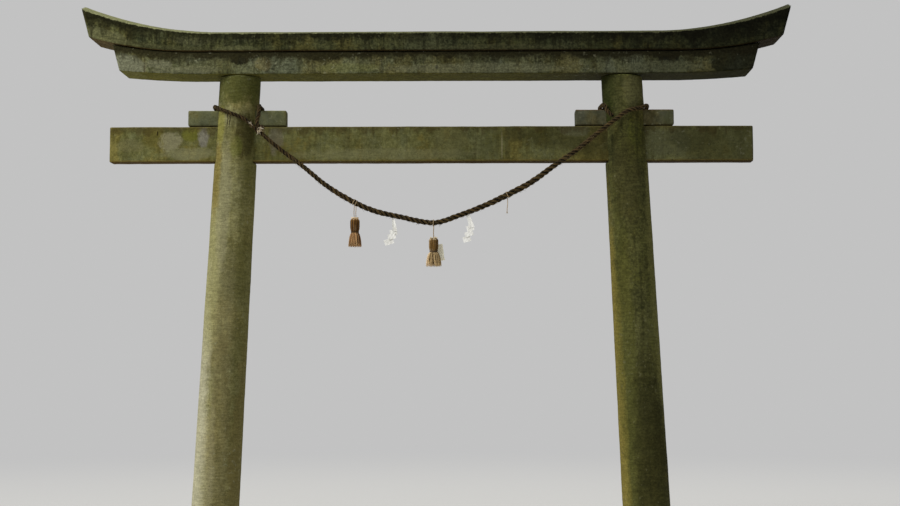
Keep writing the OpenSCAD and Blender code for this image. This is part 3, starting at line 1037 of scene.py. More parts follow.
@dataclass
class StrawRope:
    """The rope of three straw strands, wound once round each pillar and slung between them.

    Its turns and its span are drawn in millimetres: X and Y from the middle of the pillar or
    the gate, height over the wedges, and diameter. A strand's radius and distance out are
    shares of the rope's radius, one turn of it is lay diameters long, and uneven is how many
    rings even it out. Pairs of radii are those of the two ends. The loose ends are given by X,
    top and length. Every fourth frayed end starts fray_above rings over the knot, and twines
    hang where Y is under hang_y and X within hang_x. The seeds are those of the strands, the
    loose straws and the frayed ends.
    """

    pillar_h: float = 3.485
    foot_d: float = 0.340
    top_d: float = 0.292
    wedge_top: float = 3.2503
    end_d: float = 0.028
    turn_room: float = 0.0075
    left_turn: Rows = (
        (196, -168, -168, 28), (154, -168, -128, 28), (162, -142, -52, 28), (160, -106, 4, 28),
        (156, -64, 6, 28), (156, 64, 1, 28), (64, 156, 1, 28), (-64, 156, 1, 28),
        (-156, 64, 1, 28), (-156, -64, 8, 28), (-98, -140, -24, 28), (-28, -168, -54, 28))
    span: Rows = (
        (-1285, -168, -84, 28), (-1189, -168, -167, 28), (-1045, -166, -289, 29),
        (-885, -165, -409, 32), (-725, -165, -541, 35), (-560, -165, -645, 38),
        (-390, -165, -722, 38), (-215, -165, -764, 37), (20, -165, -807, 37),
        (190, -165, -760, 38), (360, -165, -696, 40), (530, -165, -617, 43),
        (700, -165, -526, 42), (860, -165, -411, 38), (1010, -166, -307, 34),
        (1150, -168, -194, 31))
    right_turn: Rows = (
        (-68, -170, -102, 30), (17, -170, -43, 30), (96, -142, -22, 29), (156, -64, 8, 28),
        (156, 64, 1, 28), (64, 156, 1, 28), (-64, 156, 1, 28), (-156, 64, 1, 28),
        (-156, -64, 7, 28), (-142, -108, 4, 28), (-120, -134, -44, 28), (-88, -158, -78, 28))
    drawn_turn_r: float = 168.0
    drawn_span_x: float = 1355.0
    fineness: int = 40
    ring_step: float = 0.0065
    lay: float = 3.0
    uneven: int = 13
    strands: int = 3
    strand_r: float = 0.455
    strand_out: float = 0.53
    straws: int = 1300
    straw_r: Row = (0.0011, 0.0003)
    straw_len: Row = (0.010, 0.030)
    loose_r: Row = (0.0042, 0.0016)
    wraps: int = 4
    wrap_r: float = 0.0028
    wrap_pitch: float = 0.0062
    wrap_sway: float = 0.0030
    wrap_room: float = 0.0030
    tail_room: float = 0.002
    frays: int = 44
    fray_r: Row = (0.0013, 0.0006)
    fray_len: Row = (0.010, 0.026)
    fray_above: int = 12
    hang_x: float = 1.1
    hang_y: float = -0.15
    seeds: Tuple[int, int, int] = (11, 23, 31)
    loose_ends: Tuple[Point, ...] = ((-1.442, 3.205, 0.085), (-1.427, 3.200, 0.090))
    finish: StrawFinish = StrawFinish("rope_straw", (76, 61, 34), (17, 13, 6),
                                      grey=(78, 72, 48), along_uv=True)
    loose: StrawFinish = StrawFinish("loose_straw", (126, 104, 68), (44, 34, 20),
                                     grey=(96, 84, 64))
    bound: StrawFinish = StrawFinish("lashing_straw", (170, 150, 116), (52, 38, 24),
                                     tip_and_highlight=(232, 222, 198))

    def __post_init__(self) -> None:
        """Works out the rope's line, its middle and radius, and the directions along it."""
        self.line = self.centre_line()
        self.centre, self.radius = self.line[:, :3], self.line[:, 3] / 2
        self.ahead, self.side, self.rise = steer(self.centre)

    def route(self) -> np.ndarray:
        """Places the drawn points on the gate.

        Returns:
            Rows of X, Y, Z and diameter, in metres.
        """
        turn_z = self.wedge_top + self.end_d / 2
        half = PILLAR_SPACING / 2 - turn_z * math.tan(PILLAR_LEAN)
        turn_r = (turn_z * (self.top_d - self.foot_d) / (2 * self.pillar_h) + self.foot_d / 2
                  + self.end_d / 2 + self.turn_room)
        deep, wide = turn_r / self.drawn_turn_r, half / self.drawn_span_x
        rows = []
        for drawn, middle, share, level in (
                (self.left_turn, Side.LEFT.value * half, deep, turn_z),
                (self.span, 0.0, wide, self.wedge_top),
                (self.right_turn, Side.RIGHT.value * half, deep, turn_z)):
            rows += [(PILLAR_OFFSET + middle + x * share, y * deep, level + z / 1000, d / 1000)
                     for x, y, z, d in drawn]
        return np.array(rows)

    def centre_line(self) -> np.ndarray:
        """Runs one smooth curve through the route.

        Returns:
            Rows of X, Y, Z and diameter along it, evenly spaced.
        """
        rows = self.route()
        last = len(rows) - 1
        t = np.linspace(0, 1, self.fineness, endpoint=False)[:, None]
        parts = []
        for i in range(last):
            a, b, c, d = rows[max(i - 1, 0)], rows[i], rows[i + 1], rows[min(i + 2, last)]
            parts.append(0.5 * (2 * b + t * (c - a) + t * t * (2 * a - 5 * b + 4 * c - d)
                                + t ** 3 * (3 * b - a - 3 * c + d)))
        smooth = np.concatenate(parts + [rows[last:]])
        run = run_along(smooth[:, :3])
        even = np.linspace(0, run[-1], int(run[-1] / self.ring_step))
        return np.stack([np.interp(even, run, smooth[:, k]) for k in range(4)], axis=1)

    def twist(self) -> List[Piece]:
        """Lays the strands round the centre line, each a little uneven.

        Returns:
            One tube for each strand.
        """
        steps = np.diff(run_along(self.centre)) / (self.lay * 2 * self.radius[1:])
        turned = np.concatenate([[0], np.cumsum(steps)]) * TURN
        chance = np.random.default_rng(self.seeds[0])
        window = np.ones(self.uneven) / self.uneven
        made = []
        for k in range(self.strands):
            angle = turned + k * TURN / self.strands
            sway = np.convolve(chance.normal(0, 1, len(self.line)), window, "same")
            thick = self.radius * self.strand_r * (1 + 0.25 * sway)
            out = self.radius * self.strand_out * (1 - 0.10 * sway)
            strand = (self.centre + (out * np.cos(angle))[:, None] * self.side
                      + (out * np.sin(angle))[:, None] * self.rise)
            piece = sweep(f"strand_{k}", strand, thick, 20, flutes=6, flute_depth=0.13,
                          flute_turn=11.0)
            self.shade_gaps(piece, 0.15 * k)
            made.append(piece)
        return made

    def shade_gaps(self, strand: Piece, lift: float) -> None:
        """Paints shade on a strand where it lies deep between the others, and a painted
        highlight where it lies outermost.

        Args:
            strand: The strand.
            lift: How much lighter than the first this strand is.
        """
        points = points_of(strand)
        count = len(self.centre)
        rings = np.repeat(np.arange(count), (len(points) - 2) // count)
        ring = np.concatenate([rings, [0, -1]])
        out = np.linalg.norm(points - self.centre[ring], axis=1) / self.radius[ring]
        # Painted shade in the gaps between the strands, and a painted highlight on their outer
        # sides.
        set_shade(strand.data, np.clip((out - 0.68) / 0.30, 0, 1) * 0.9 + lift - 0.3)

    def fray(self) -> Piece:
        """Lets short straws stand out of the rope, and two loose ends hang.

        Returns:
            The loose straws as one piece.
        """
        chance = np.random.default_rng(self.seeds[1])
        t = np.linspace(0, 1, 4)[:, None]
        parts = []
        for i in range(self.straws):
            at = int(chance.integers(4, len(self.line) - 4))
            angle, slope = chance.uniform(0, TURN), chance.uniform(0.1, 0.55)
            way = 1 if chance.random() < 0.6 else -1
            out = math.cos(angle) * self.side[at] + math.sin(angle) * self.rise[at]
            length = chance.uniform(*self.straw_len)
            droop = (np.array((0, 0, -0.35)) - 0.3 * slope * out) * length
            straw = (self.centre[at] + out * self.radius[at] * 0.8
                     + t * length * (way * self.ahead[at] + slope * out) + t * t * droop)
            parts.append(lay_straw(f"straw_{i}", straw, self.straw_r, 3,
                                   chance.uniform(0, 1)))
        t = np.linspace(0, 1, 12)
        for k, (x, top, length) in enumerate(self.loose_ends):
            strand = np.stack([x + 0.003 * np.sin(4 * t + k), -0.166 - 0.006 * t * (1 - t),
                               top - length * t], axis=1)
            parts.append(sweep(f"loose_end_{k}", strand, np.linspace(*self.loose_r, 12), 6,
                               flutes=3, flute_depth=0.2, flute_turn=30.0, shade=0.0))
        return join("rope_loose_straws", parts)

    def loop(self, name: str, x: float, thick: float) -> Piece:
        """Passes a twine once round the hanging span.

        Args:
            name: The loop's name.
            x: Where on the rope it lies.
            thick: The twine's radius.

        Returns:
            The loop.
        """
        hangs = np.flatnonzero((self.centre[:, 1] < self.hang_y)
                               & (abs(self.centre[:, 0]) < self.hang_x))
        at = int(hangs[np.argmin(abs(self.centre[hangs, 0] - x))])
        ahead = unit(self.centre[at + 2] - self.centre[at - 2])
        side = unit(np.cross(ahead, (0.0, 0.0, 1.0)))
        rise = np.cross(side, ahead)
        angle = np.linspace(-0.25 * TURN, 0.78 * TURN, 30)[:, None]
        shift = np.linspace(-1.1, 1.1, 30)[:, None] * thick
        ring = ((self.radius[at] + thick * 0.4) * (np.cos(angle) * side + np.sin(angle) * rise)
                + self.centre[at] + shift * ahead)
        return lay_twine(name, ring, thick, 0.6)

    def lash(self) -> Piece:
        """Winds the pale lashing round the rope and its tail at the left pillar.

        Returns:
            The lashing with its frayed ends.
        """
        knot = self.route()[len(self.left_turn) + 1, :3]
        at = int(np.argmin(np.linalg.norm(self.centre - knot, axis=1)))
        way = unit((self.centre[at + 2] - self.centre[at - 2]) * (1.0, 0.0, 1.0))
        tail, front = np.array((-way[2], 0.0, way[0])), np.array((0.0, -1.0, 0.0))
        chance = np.random.default_rng(self.seeds[2])
        reach, apart = self.end_d / 2 + self.wrap_room, self.end_d + self.tail_room
        a = np.linspace(0, TURN, 36)[:, None]
        over = np.where(np.cos(a) > 0, apart, 0.0) + reach * np.cos(a)
        parts = []
        for k in range(self.wraps):
            along = (self.wrap_pitch * (k - self.wraps / 2 + a / TURN)
                     + self.wrap_sway * np.sin(a + 2 * k))
            winding = knot + over * tail + reach * np.sin(a) * front + along * way
            parts.append(sweep(f"wrap_{k}", winding, self.wrap_r, 8, flutes=3, flute_depth=0.2,
                               flute_turn=40.0, shade=0.15 * k))
        t = np.linspace(0, 1, 6)[:, None]
        for k in range(self.frays):
            aim = (tail * chance.normal(0, 0.7) + way * chance.normal(0, 0.7)
                   + front * chance.uniform(0.1, 0.5) + np.array((0, 0, -0.1)))
            if k % 4:
                start = (knot + tail * chance.uniform(-0.3, 0.9) * apart
                         + front * (reach + 0.002))
            else:
                start = self.centre[at - self.fray_above] + front * self.end_d * 0.5
            start = start + way * chance.uniform(-0.012, 0.012)
            length = chance.uniform(*self.fray_len)
            straw = start + aim * length * t + np.array((0, 0, -0.4)) * length * t * t
            parts.append(lay_straw(f"end_{k}", straw, self.fray_r, 4,
                                   chance.uniform(0.7, 1.6)))
        return join("rope_lashing", parts)

    def build(self) -> None:
        rope = dress(join("twisted_straw_rope", self.twist()), self.finish.material(),
                     "dark_straw", "straw_rope")
        straws = dress(self.fray(), self.loose.material(), "dark_straw")
        lashing = dress(self.lash(), self.bound.material(), "pale_straw", "rope_knot")


# ---------------------------------------------------------------- the hangings


@dataclass
class Tassel:
    """A straw tassel: a ribbed bundle folded over its top, a bound waist and a flared skirt.

    The skirt's straw is drawn one metre long and scaled by slender. The twine goes on up
    between the rope's strands by twine_up, and down into the head by twine_down.
    """

    name: str
    twine: StrawFinish
    head: StrawFinish
    skirt: StrawFinish
    slot: str
    bound: StrawFinish = StrawFinish("binding_twine", (112, 86, 52), (44, 28, 14))
    two_strands: bool = False
    # How much straws on the tassel's left side are lightened: painted light from the left, with
    # some sun-paling.
    bleach_and_left_light: float = 0.0
    # How much the tops of the head's ribs are lightened: pale folded straw, and a painted
    # highlight from above.
    pale_and_lit_top: float = 1.1
    bulge: float = 0.06
    ribs: int = 60
    rib_r: float = 0.0023
    shoulder: float = 0.022
    core_gap: float = 0.004
    core_bevel: float = 0.016
    straws: int = 250
    straw_r: float = 0.019
    slender: float = 0.095
    loops: int = 9
    loop_r: float = 0.019
    loop_size: Point = (0.0065, 0.009, 0.0024)
    turns: float = 3.4
    neck_r: float = 0.0225
    lift: float = 0.006
    tuck: float = 0.004
    twine_r: float = 0.0030
    strand_r: float = 0.0022
    strand_x: float = 0.0065
    twine_up: float = 0.004
    twine_down: float = 0.012
    seed: int = 3

    def node(self, part: str) -> str:
        """Returns the CAD node's name of one of the tassel's parts."""
        return f"{self.name}_tassel_{part}"

    def bleached_and_lit(self, angle: float) -> float:
        """Returns how much a straw at that angle is lightened by painted light from the left,
        with some sun-paling.
        """
        return self.bleach_and_left_light * max(0.0, -math.cos(angle) - 0.45)

    def copies(self, model: Piece, places: Sequence[Tuple[Matrix, float]],
               glow: Amounts = 0.0) -> List[Piece]:
        """Copies a straw, each copy with its own mesh.

        Args:
            model: The straw that is copied; it is removed.
            places: Where each copy goes, and how light it is.
            glow: How much lighter each of its points is than that.

        Returns:
            The copies.
        """
        made = []
        for i, (matrix, shade) in enumerate(places):
            mesh = model.data.copy()
            mesh.transform(matrix)
            set_shade(mesh, shade + glow)
            made.append(add_object(f"{model.name}_{i}", mesh))
        bpy.data.objects.remove(model)
        return made

    def head_core(self, middle: Vector, radius: float, height: float) -> Piece:
        """Makes the round-shouldered core that closes the gaps between the ribs.

        Args:
            middle: The middle of the head's underside.
            radius: The head's radius.
            height: The head's height.

        Returns:
            The core, narrower at its foot.
        """
        core = make(bpy.ops.mesh.primitive_cylinder_add, vertices=32,
                    radius=radius - self.core_gap, depth=height - 1.5 * self.core_gap,
                    location=middle + Vector((0, 0, height / 2)))
        settle(core)
        bpy.ops.object.mode_set(mode="EDIT")
        bpy.ops.mesh.select_all(action="DESELECT")
        bpy.ops.object.mode_set(mode="OBJECT")
        top = max(v.co.z for v in core.data.vertices)
        for v in core.data.vertices:
            if v.co.z < top - height / 2:
                v.co.xy = middle.xy + (v.co.xy - middle.xy) * 0.7
        for edge in core.data.edges:
            edge.select = all(core.data.vertices[v].co.z > top - 1e-4 for v in edge.vertices)
        bpy.ops.object.mode_set(mode="EDIT")
        bpy.ops.mesh.bevel(offset=self.core_bevel, segments=4)
        bpy.ops.object.mode_set(mode="OBJECT")
        # The core takes the darkest straw tone: painted shade deep between the ribs.
        set_shade(core.data, 0.0)
        core.data.shade_smooth()
        return core

    def build_head(self) -> Piece:
        """Bundles ribs of straw round a core and folds them over the top.

        Returns:
            The head.
        """
        low, high, middle = node_box(self.node("head"))
        middle.z = low.z
        radius, height = (high.x - low.x) / 2, high.z - low.z
        core = self.head_core(middle, radius, height)
        outer, bend = radius - self.rib_r, self.shoulder
        profile = [(outer * 0.78, 0.0), (outer * 0.84, height * 0.08),
                   (outer * 0.95, height * 0.2), (outer, height * 0.38), (outer, height - bend)]
        profile += [(outer - bend + bend * math.cos(a), height - bend - self.rib_r * 0.3
                     + (bend - self.rib_r) * math.sin(a))
                    for a in np.linspace(0, math.pi / 2, 6)[1:]]
        profile.append((0.007, height - self.rib_r * 1.6))
        rib = sweep("rib", np.array([(r, 0.0, z) for r, z in profile]), self.rib_r, 6)
        chance = np.random.default_rng(self.seed)
        places = []
        for k in range(self.ribs):
            angle = TURN * k / self.ribs + chance.normal(0, 0.02)
            size = Matrix.Diagonal((1, 1, chance.uniform(0.965, 1.0), 1))
            tilt = Matrix.Rotation(chance.normal(0, 0.02), 4, "X")
            # Ribs on the left side are lightened as painted light from the left.
            places.append((Matrix.Translation(middle) @ Matrix.Rotation(angle, 4, "Z")
                           @ tilt @ size, chance.uniform(0, 1) + self.bleached_and_lit(angle)))
        wide, tall, thick = self.loop_size
        arch = sweep("arch", np.array([(wide * math.cos(a), 0.0, tall * math.sin(a))
                                       for a in np.linspace(0, math.pi, 9)]), thick, 6)
        # The crown loops take the pale tone of the tips in full: pale folded straw, and a
        # painted highlight on the top.
        crown = []
        for k in range(self.loops):
            angle = TURN * k / self.loops + chance.normal(0, 0.2)
            lean = Matrix.Rotation(chance.uniform(0.2, 0.9), 4, "X")
            stand = middle + around(self.loop_r, angle, height - 0.005)
            crown.append((Matrix.Translation(stand)
                          @ Matrix.Rotation(angle + math.pi / 2, 4, "Z") @ lean, 1.5))
        # The ribs' tops are lightened: pale folded straw, and a painted highlight from above.
        high_up = points_of(rib)[:, 2] / height
        glow = self.pale_and_lit_top * np.clip((high_up - 0.74) / 0.26, 0, 1)
        return join(self.node("head") + "_straws",
                    [core] + self.copies(rib, places, glow) + self.copies(arch, crown))

    def build_binding(self) -> Piece:
        """Winds twine round the waist.

        Returns:
            The binding.
        """
        low, high, middle = node_box(self.node("binding"))
        height = high.z - low.z
        thick = height / (2 * self.turns) * 1.15
        radius = (high.x - low.x) / 2 * 0.87 - thick
        angle = np.linspace(0, TURN * self.turns, int(28 * self.turns))
        winding = np.stack([
            middle.x + radius * np.cos(angle), middle.y + radius * np.sin(angle),
            low.z + self.lift + thick + (height - 2 * thick) * angle / angle[-1]], axis=1)
        return join(self.node("binding") + "_twine",
                    [sweep("winding", winding, thick, 8, flutes=4, flute_depth=0.12,
                           flute_turn=60.0, shade=0.4)])

    def build_skirt(self) -> Piece:
        """Hangs straws of uneven length from the waist.

        Returns:
            The skirt.
        """
        low, high, middle = node_box(self.node("skirt"))
        middle.z = node_box(self.node("binding"))[0].z + self.lift + self.tuck
        length, flare = middle.z - low.z, (high.x - low.x) / 2
        chance = np.random.default_rng(self.seed + 40)
        t = np.linspace(0, 1, 6)
        curve = np.stack([self.bulge * np.sin(math.pi * t ** 0.65), 0 * t, -t], axis=1)
        straw = sweep("straw", curve,
                      np.array([1.0, 1.1, 1.0, 0.95, 0.8, 0.45]) * self.straw_r, 5)
        places = []
        for k in range(self.straws):
            share = math.sqrt((k + 0.5) / self.straws)
            angle = k * GOLDEN_ANGLE + chance.normal(0, 0.12)
            start = around(self.neck_r * share, angle)
            way = around(flare * share, angle,
                         -length * (1 - 0.2 * chance.random() ** 1.5)) - start
            aim = Vector((0, 0, -1)).rotation_difference(way).to_matrix().to_4x4()
            spin = Matrix.Rotation(angle + chance.normal(0, 0.5), 4, "Z")
            thick = chance.uniform(0.8, 1.25) * self.slender
            # Straws on the left side are lightened as painted light from the left.
            places.append((Matrix.Translation(middle + start) @ aim @ spin
                           @ Matrix.Diagonal((thick, thick, way.length, 1)),
                           chance.uniform(0, 1) + self.bleached_and_lit(angle)))
        tips = 0.35 * np.clip(-2 * points_of(straw)[:, 2] - 1, 0, 1)
        core = make(bpy.ops.mesh.primitive_cone_add, vertices=24, radius1=flare * 0.66,
                    radius2=self.neck_r * 0.8, depth=length * 0.8,
                    location=middle - Vector((0, 0, length * 0.4)))
        settle(core)
        # The core takes the darkest straw tone: painted shade deep inside the skirt.
        set_shade(core.data, 0.0)
        return join(self.node("skirt") + "_straws", [core] + self.copies(straw, places, tips))

    def build_cords(self, rope: StrawRope) -> None:
        """Hangs the tassel by one twine, or by two side by side.

        Args:
            rope: The rope that it hangs from.
        """
        _, high, middle = node_box(self.node("cord"))
        top = high.z + self.twine_up
        bottom = node_box(self.node("head"))[1].z - self.twine_down
        if self.two_strands:
            ways = {side.name.lower(): side.value for side in Side}
            spread, thick = self.strand_x, self.strand_r
        else:
            ways, spread, thick = {"single": 0}, 0.0, self.twine_r
        finish = self.twine.material()
        t = np.linspace(0, 1, 20)
        hangs = []
        for side, way in ways.items():
            drop = np.stack([
                middle.x + way * spread * (1 - 0.35 * t ** 6) + 0.0008 * np.sin(9 * t),
                middle.y + 0.0006 * np.cos(7 * t), top + (bottom - top) * t], axis=1)
            twine = lay_twine(f"{self.name}_tassel_twine_{side}", drop, thick, 0.6)
            loop = rope.loop(f"{self.name}_tassel_loop_{side}", middle.x + way * spread, thick)
            dress(twine, finish, self.slot, *([] if hangs else [self.node("cord")]))
            dress(loop, finish, self.slot)
            hangs.append((twine, loop, drop))

    def build(self, rope: StrawRope) -> None:
        """Makes the whole tassel.

        Args:
            rope: The rope that it hangs from.
        """
        dress(self.build_head(), self.head.material(), self.slot, self.node("head"))
        dress(self.build_binding(), self.bound.material(), self.slot, self.node("binding"))
        dress(self.build_skirt(), self.skirt.material(), self.slot, self.node("skirt"))
        self.build_cords(rope)


@dataclass
class BareCord:
    """The twine whose tassel is missing, with a frayed end.

    It goes up between the rope's strands, and ends short of its node to leave the fibres room.
    """

    finish: StrawFinish
    thick: float = 0.0024
    up: float = 0.004
    short: float = 0.018
    fibres: int = 12
    fibre_r: Row = (0.0009, 0.0004)
    fibre_len: Row = (0.009, 0.015)
    seed: int = 47
    slot: str = "pale_straw"

    def build(self, rope: StrawRope) -> None:
        """Hangs the twine and frays its end.

        Args:
            rope: The rope that it hangs from.
        """
        low, high, middle = node_box("bare_tassel_cord")
        t = np.linspace(0, 1, 24)
        top, bottom = high.z + self.up, low.z + self.short
        drop = np.stack([middle.x + 0.0022 * np.sin(5 * t), middle.y + 0.001 * np.cos(4 * t),
                         top + (bottom - top) * t], axis=1)
        twine = lay_twine("bare_tassel_twine", drop, self.thick, 0.7)
        finish = self.finish.material()
        dress(twine, finish, self.slot, "bare_tassel_cord")
        loop = dress(rope.loop("bare_tassel_loop", middle.x, self.thick), finish, self.slot)
        chance = np.random.default_rng(self.seed)
        start = drop[-1] + np.array((0, 0, 0.003))
        t = np.linspace(0, 1, 5)[:, None]
        parts = []
        for k in range(self.fibres):
            lean = np.array((chance.normal(0, 0.3), chance.normal(0, 0.3), -1.0))
            fibre = start + lean * t * chance.uniform(*self.fibre_len)
            parts.append(lay_straw(f"fibre_{k}", fibre, self.fibre_r, 4,
                                   chance.uniform(0.3, 1)))
        frayed = dress(join("bare_tassel_frayed_end", parts), finish, self.slot)


@dataclass
class Panel:
    """One fold of a streamer: its top left corner, its size, and its turn in degrees.

    It lies depth behind the streamer's middle, leans back by tilt, and widens by flare.
    """

    left: float
    top: float
    width: float
    length: float
    turn: float
    depth: float
    tilt: float = 0.0
    flare: float = 0.0


@dataclass
class Streamer:
    """A white paper cut and folded into a zigzag."""

    node: str
    panels: Tuple[Panel, ...]
    seed: int = 5
    paper: float = 0.0006
    pleat: float = 0.0005
    pitch: float = 0.024
    curl: float = 0.0020
    ragged: float = 0.0007
    smooth: float = 50.0
    cells_across: int = 20
    cells_down: int = 12

    def fold(self, panel: Panel, index: int, middle: Vector) -> Piece:
        """Shapes one panel, slightly curled and crumpled.

        Args:
            panel: Its sizes.
            index: Its place from the top.
            middle: Where the streamer hangs.

        Returns:
            The panel.
        """
        piece = make(bpy.ops.mesh.primitive_grid_add, x_subdivisions=self.cells_across,
                     y_subdivisions=self.cells_down, size=1)
        chance = np.random.default_rng(self.seed * 10 + index)
        phase = chance.uniform(0, TURN, 4)
        points = points_of(piece)
        u, v = points[:, 0] + 0.5, 0.5 - points[:, 1]
        ragged = self.ragged * np.sin(7 * v + phase[0]) + 0.0003 * np.sin(19 * v + phase[1])
        edge = abs(2 * u - 1) ** 3
        across = panel.width * (1 + panel.flare * v) * u + ragged * edge * np.sign(u - 0.5)
        down = panel.length * v - 0.0006 * np.sin(5 * u + phase[2]) * (v > 0.95)
        turn = math.radians(panel.turn)
        points[:, 0] = middle.x + panel.left + across * math.cos(turn) + down * math.sin(turn)
        points[:, 2] = middle.z + panel.top + across * math.sin(turn) - down * math.cos(turn)
        curl = self.curl * np.sin(math.pi * u) * math.cos(phase[3])
        pleats = self.pleat * np.sin(TURN * across / self.pitch + phase[0] + 0.6 * v)
        crease = 0.0004 * np.sin(13 * u + 9 * v + phase[2]) + 0.0002 * np.sin(23 * v - 11 * u)
        points[:, 1] = (middle.y + panel.depth + curl + pleats + crease
                        + panel.tilt * panel.length * v)
        piece.data.vertices.foreach_set("co", points.astype(np.float32).ravel())
        piece.data.update()
        return piece

    def build(self, finish: bpy.types.Material) -> None:
        """Folds the streamer and hangs it.

        Args:
            finish: The paper's material.
        """
        _, high, middle = node_box(self.node)
        middle.z = high.z
        parts = [self.fold(p, i, middle) for i, p in enumerate(self.panels)]
        piece = join("folded_" + self.node, parts)
        apply_modifier(piece, "SOLIDIFY", thickness=self.paper, offset=0.0)
        smooth_by_angle(piece, self.smooth)
        dress(piece, finish, "paper", self.node)
        width = max(p.width * (1 + p.flare) for p in self.panels)
        sum(p.width * (1 + p.flare / 2) * p.length for p in self.panels)


def zigzag(drawn: Rows, tuck: float = 0.008, apart: float = 0.005) -> Tuple[Panel, ...]:
    """Stacks the panels of a streamer, by turns in front of and behind each other.

    Args:
        drawn: Left and top of each one's corner, its width and length in millimetres, its
            turn in degrees, and how much it widens on the way down.
        tuck: How far the first goes up between the rope's strands.
        apart: How far each lies behind or in front of the last.

    Returns:
        The panels.
    """
    made = []
    for i, (left, top, width, length, turn, flare) in enumerate(drawn):
        extra = tuck if i == 0 else 0.0
        made.append(Panel(left / 1000, top / 1000 + extra, width / 1000, length / 1000 + extra,
                          turn, (i % 2 - 0.5) * apart, flare=flare))
    return tuple(made)


@dataclass
class PaperStreamers:
    """The three streamers: two of white paper, and a creamy one behind the middle tassel.

    The outer two are drawn as zigzag takes them, from under the rope downwards.
    """

    white: PaperFinish = PaperFinish("streamer_paper")
    # The creamy paper is made brighter than the white paper, as painted light where the middle
    # tassel shades it.
    lit_cream: PaperFinish = PaperFinish("lit_cream_paper", (255, 251, 228), (252, 243, 214))
    left: Rows = (
        (5, 0, 16, 88, 3, 1.0), (-12, -78, 50, 40, 10, 0), (-27, -111, 55, 36, 12, 0),
        (-53, -149, 65, 40, 18, 0))
    right: Rows = (
        (-16, 0, 23, 86, 13, 0.6), (-18, -72, 50, 40, 17, 0), (-30, -116, 59, 34, 17, 0),
        (-43, -148, 53, 40, 17, 0))

    def build(self) -> None:
        """Makes each streamer."""
        paper = self.white.material()
        Streamer("left_streamer", zigzag(self.left)).build(paper)
        Streamer("right_streamer", zigzag(self.right), seed=6).build(paper)
        low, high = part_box("middle_streamer")
        fall = high.z - low.z
        panels = (Panel(-0.042, -0.010, 0.068, fall * 0.58, 8, -0.008),
                  Panel(-0.012, -fall * 0.56 - 0.006, 0.046, fall * 0.42, 10, -0.006, 0.24))
        Streamer("middle_streamer", panels, seed=7).build(self.lit_cream.material())


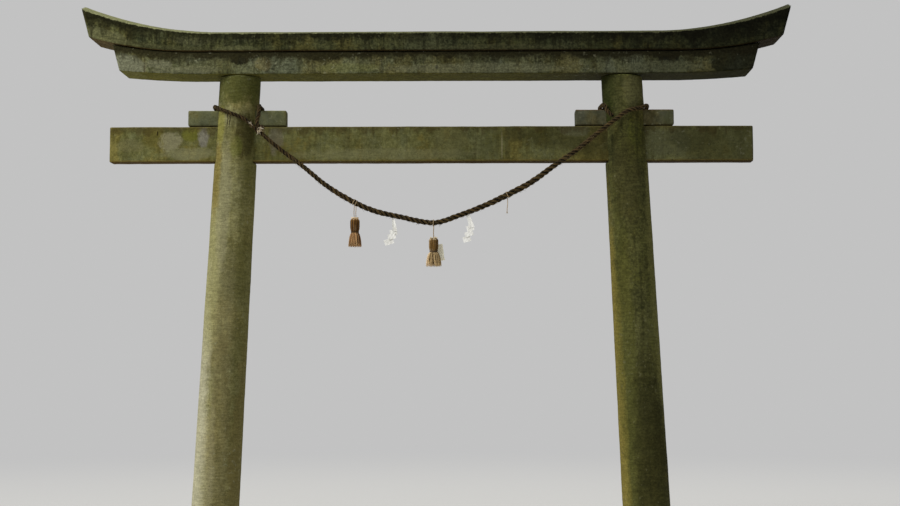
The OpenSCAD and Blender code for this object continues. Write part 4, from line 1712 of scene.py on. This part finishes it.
@dataclass
class Studio:
    """The camera, the lamps, the sky and the floor."""

    lens: float = 60.0
    sensor: float = 36.0
    eye: Point = (0.25137, -10.4682, 1.49148)
    yaw: float = -0.0144
    pitch: float = 0.0719
    roll: float = 0.0006
    sky_light: float = 0.45
    key_light: float = 2.3
    key_way: Point = (0.85, 0.62, -0.72)
    key_softness: float = 30.0
    floor_radius: float = 40.0
    floor_tone: Tone = (222, 221, 217)
    floor_fade: Row = (4.0, 15.0)
    backdrop: Colour = (0.54, 0.54, 0.54, 1.0)

    def aim(self) -> Matrix:
        """Works out how the camera is turned.

        Returns:
            The camera's matrix in the gate's frame.
        """
        return (Matrix.Translation(self.eye) @ Matrix.Rotation(-self.yaw, 4, "Z")
                @ Matrix.Rotation(math.pi / 2 + self.pitch, 4, "X")
                @ Matrix.Rotation(-self.roll, 4, "Z"))

    def add_camera(self) -> None:
        """Sets the camera where the photograph was taken from."""
        camera = make(bpy.ops.object.camera_add)
        camera.name = "camera"
        camera.data.lens = self.lens
        camera.data.sensor_width = self.sensor
        camera.data.clip_end = 200.0
        camera.matrix_world = self.aim()
        bpy.context.scene.camera = camera

    def add_lights(self) -> None:
        """Adds the soft key lamp and a pale sky that the lens sees as the backdrop."""
        lamp = make(bpy.ops.object.light_add, type="SUN")
        lamp.name = "key_lamp"
        lamp.rotation_euler = Vector(self.key_way).to_track_quat("-Z", "Y").to_euler()
        lamp.data.energy = self.key_light
        lamp.data.angle = math.radians(self.key_softness)
        g = Graph("sky", sky=True)
        bpy.context.scene.world = g.owner
        g.feed(g.shader, {"Color": (1.0, 1.0, 1.0, 1.0), "Strength": self.sky_light})
        seen = g.node("ShaderNodeBackground", inputs={"Color": self.backdrop})
        camera, glossy, through = (g.node("ShaderNodeLightPath", output=f"Is {ray} Ray")
                                   for ray in ("Camera", "Glossy", "Transmission"))
        g.lay_over(seen, camera.most(glossy.most(through)))

    def add_floor(self) -> None:
        """Adds the plain pale floor, which fades into the backdrop far away."""
        floor = make(bpy.ops.mesh.primitive_circle_add, vertices=96,
                     radius=self.floor_radius, fill_type="NGON", location=(0, 0, -0.001))
        floor.name = "studio_floor"
        settle(floor)
        g = Graph("floor_paint")
        floor.data.materials.append(g.finish(paint(self.floor_tone), 0.9))
        away = g.node("ShaderNodeVectorMath", {"operation": "LENGTH"}, {0: g.spot()}, "Value")
        camera = g.node("ShaderNodeLightPath", output="Is Camera Ray")
        glow = g.node("ShaderNodeEmission", inputs={"Color": self.backdrop})
        g.lay_over(glow, g.step(away, *self.floor_fade) * camera)

    def build(self) -> None:
        """Sets up the whole studio."""
        self.add_camera()
        self.add_lights()
        self.add_floor()
        bpy.context.scene.view_settings.view_transform = "Standard"


def main() -> None:
    """Builds the pieces in order and reports each."""
    logging.basicConfig(level=logging.INFO, format="%(message)s")
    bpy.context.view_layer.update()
    Studio().build()
    rope = StrawRope()
    rope.build()
    # Each finish's pale tone for tips also paints highlights on lit straws.
    orange = StrawFinish("orange_straw", (126, 90, 44), (54, 31, 11), tip_and_highlight=(226, 200, 158))
    amber = StrawFinish("amber_straw", (188, 148, 102), (76, 44, 20))
    olive = StrawFinish("olive_straw", (117, 88, 44), (42, 28, 11), tip_and_highlight=(226, 206, 166))
    gold = StrawFinish("gold_straw", (216, 188, 136), (66, 43, 19), tip_and_highlight=(226, 204, 178))
    pale = StrawFinish("pale_twine", (182, 160, 124), (104, 84, 58))
    Tassel("left", pale, orange, amber, "brown_straw", two_strands=True).build(rope)
    # The middle tassel's left-side straws and the tops of its head are lightened as painted
    # light.
    Tassel("middle", pale, olive, gold, "olive_straw", bleach_and_left_light=1.2, pale_and_lit_top=0.7,
           bulge=0.095, loops=5, seed=8).build(rope)
    BareCord(pale).build(rope)
    PaperStreamers().build()
    StoneFrame().build()


if __name__ == "__main__":
    main()
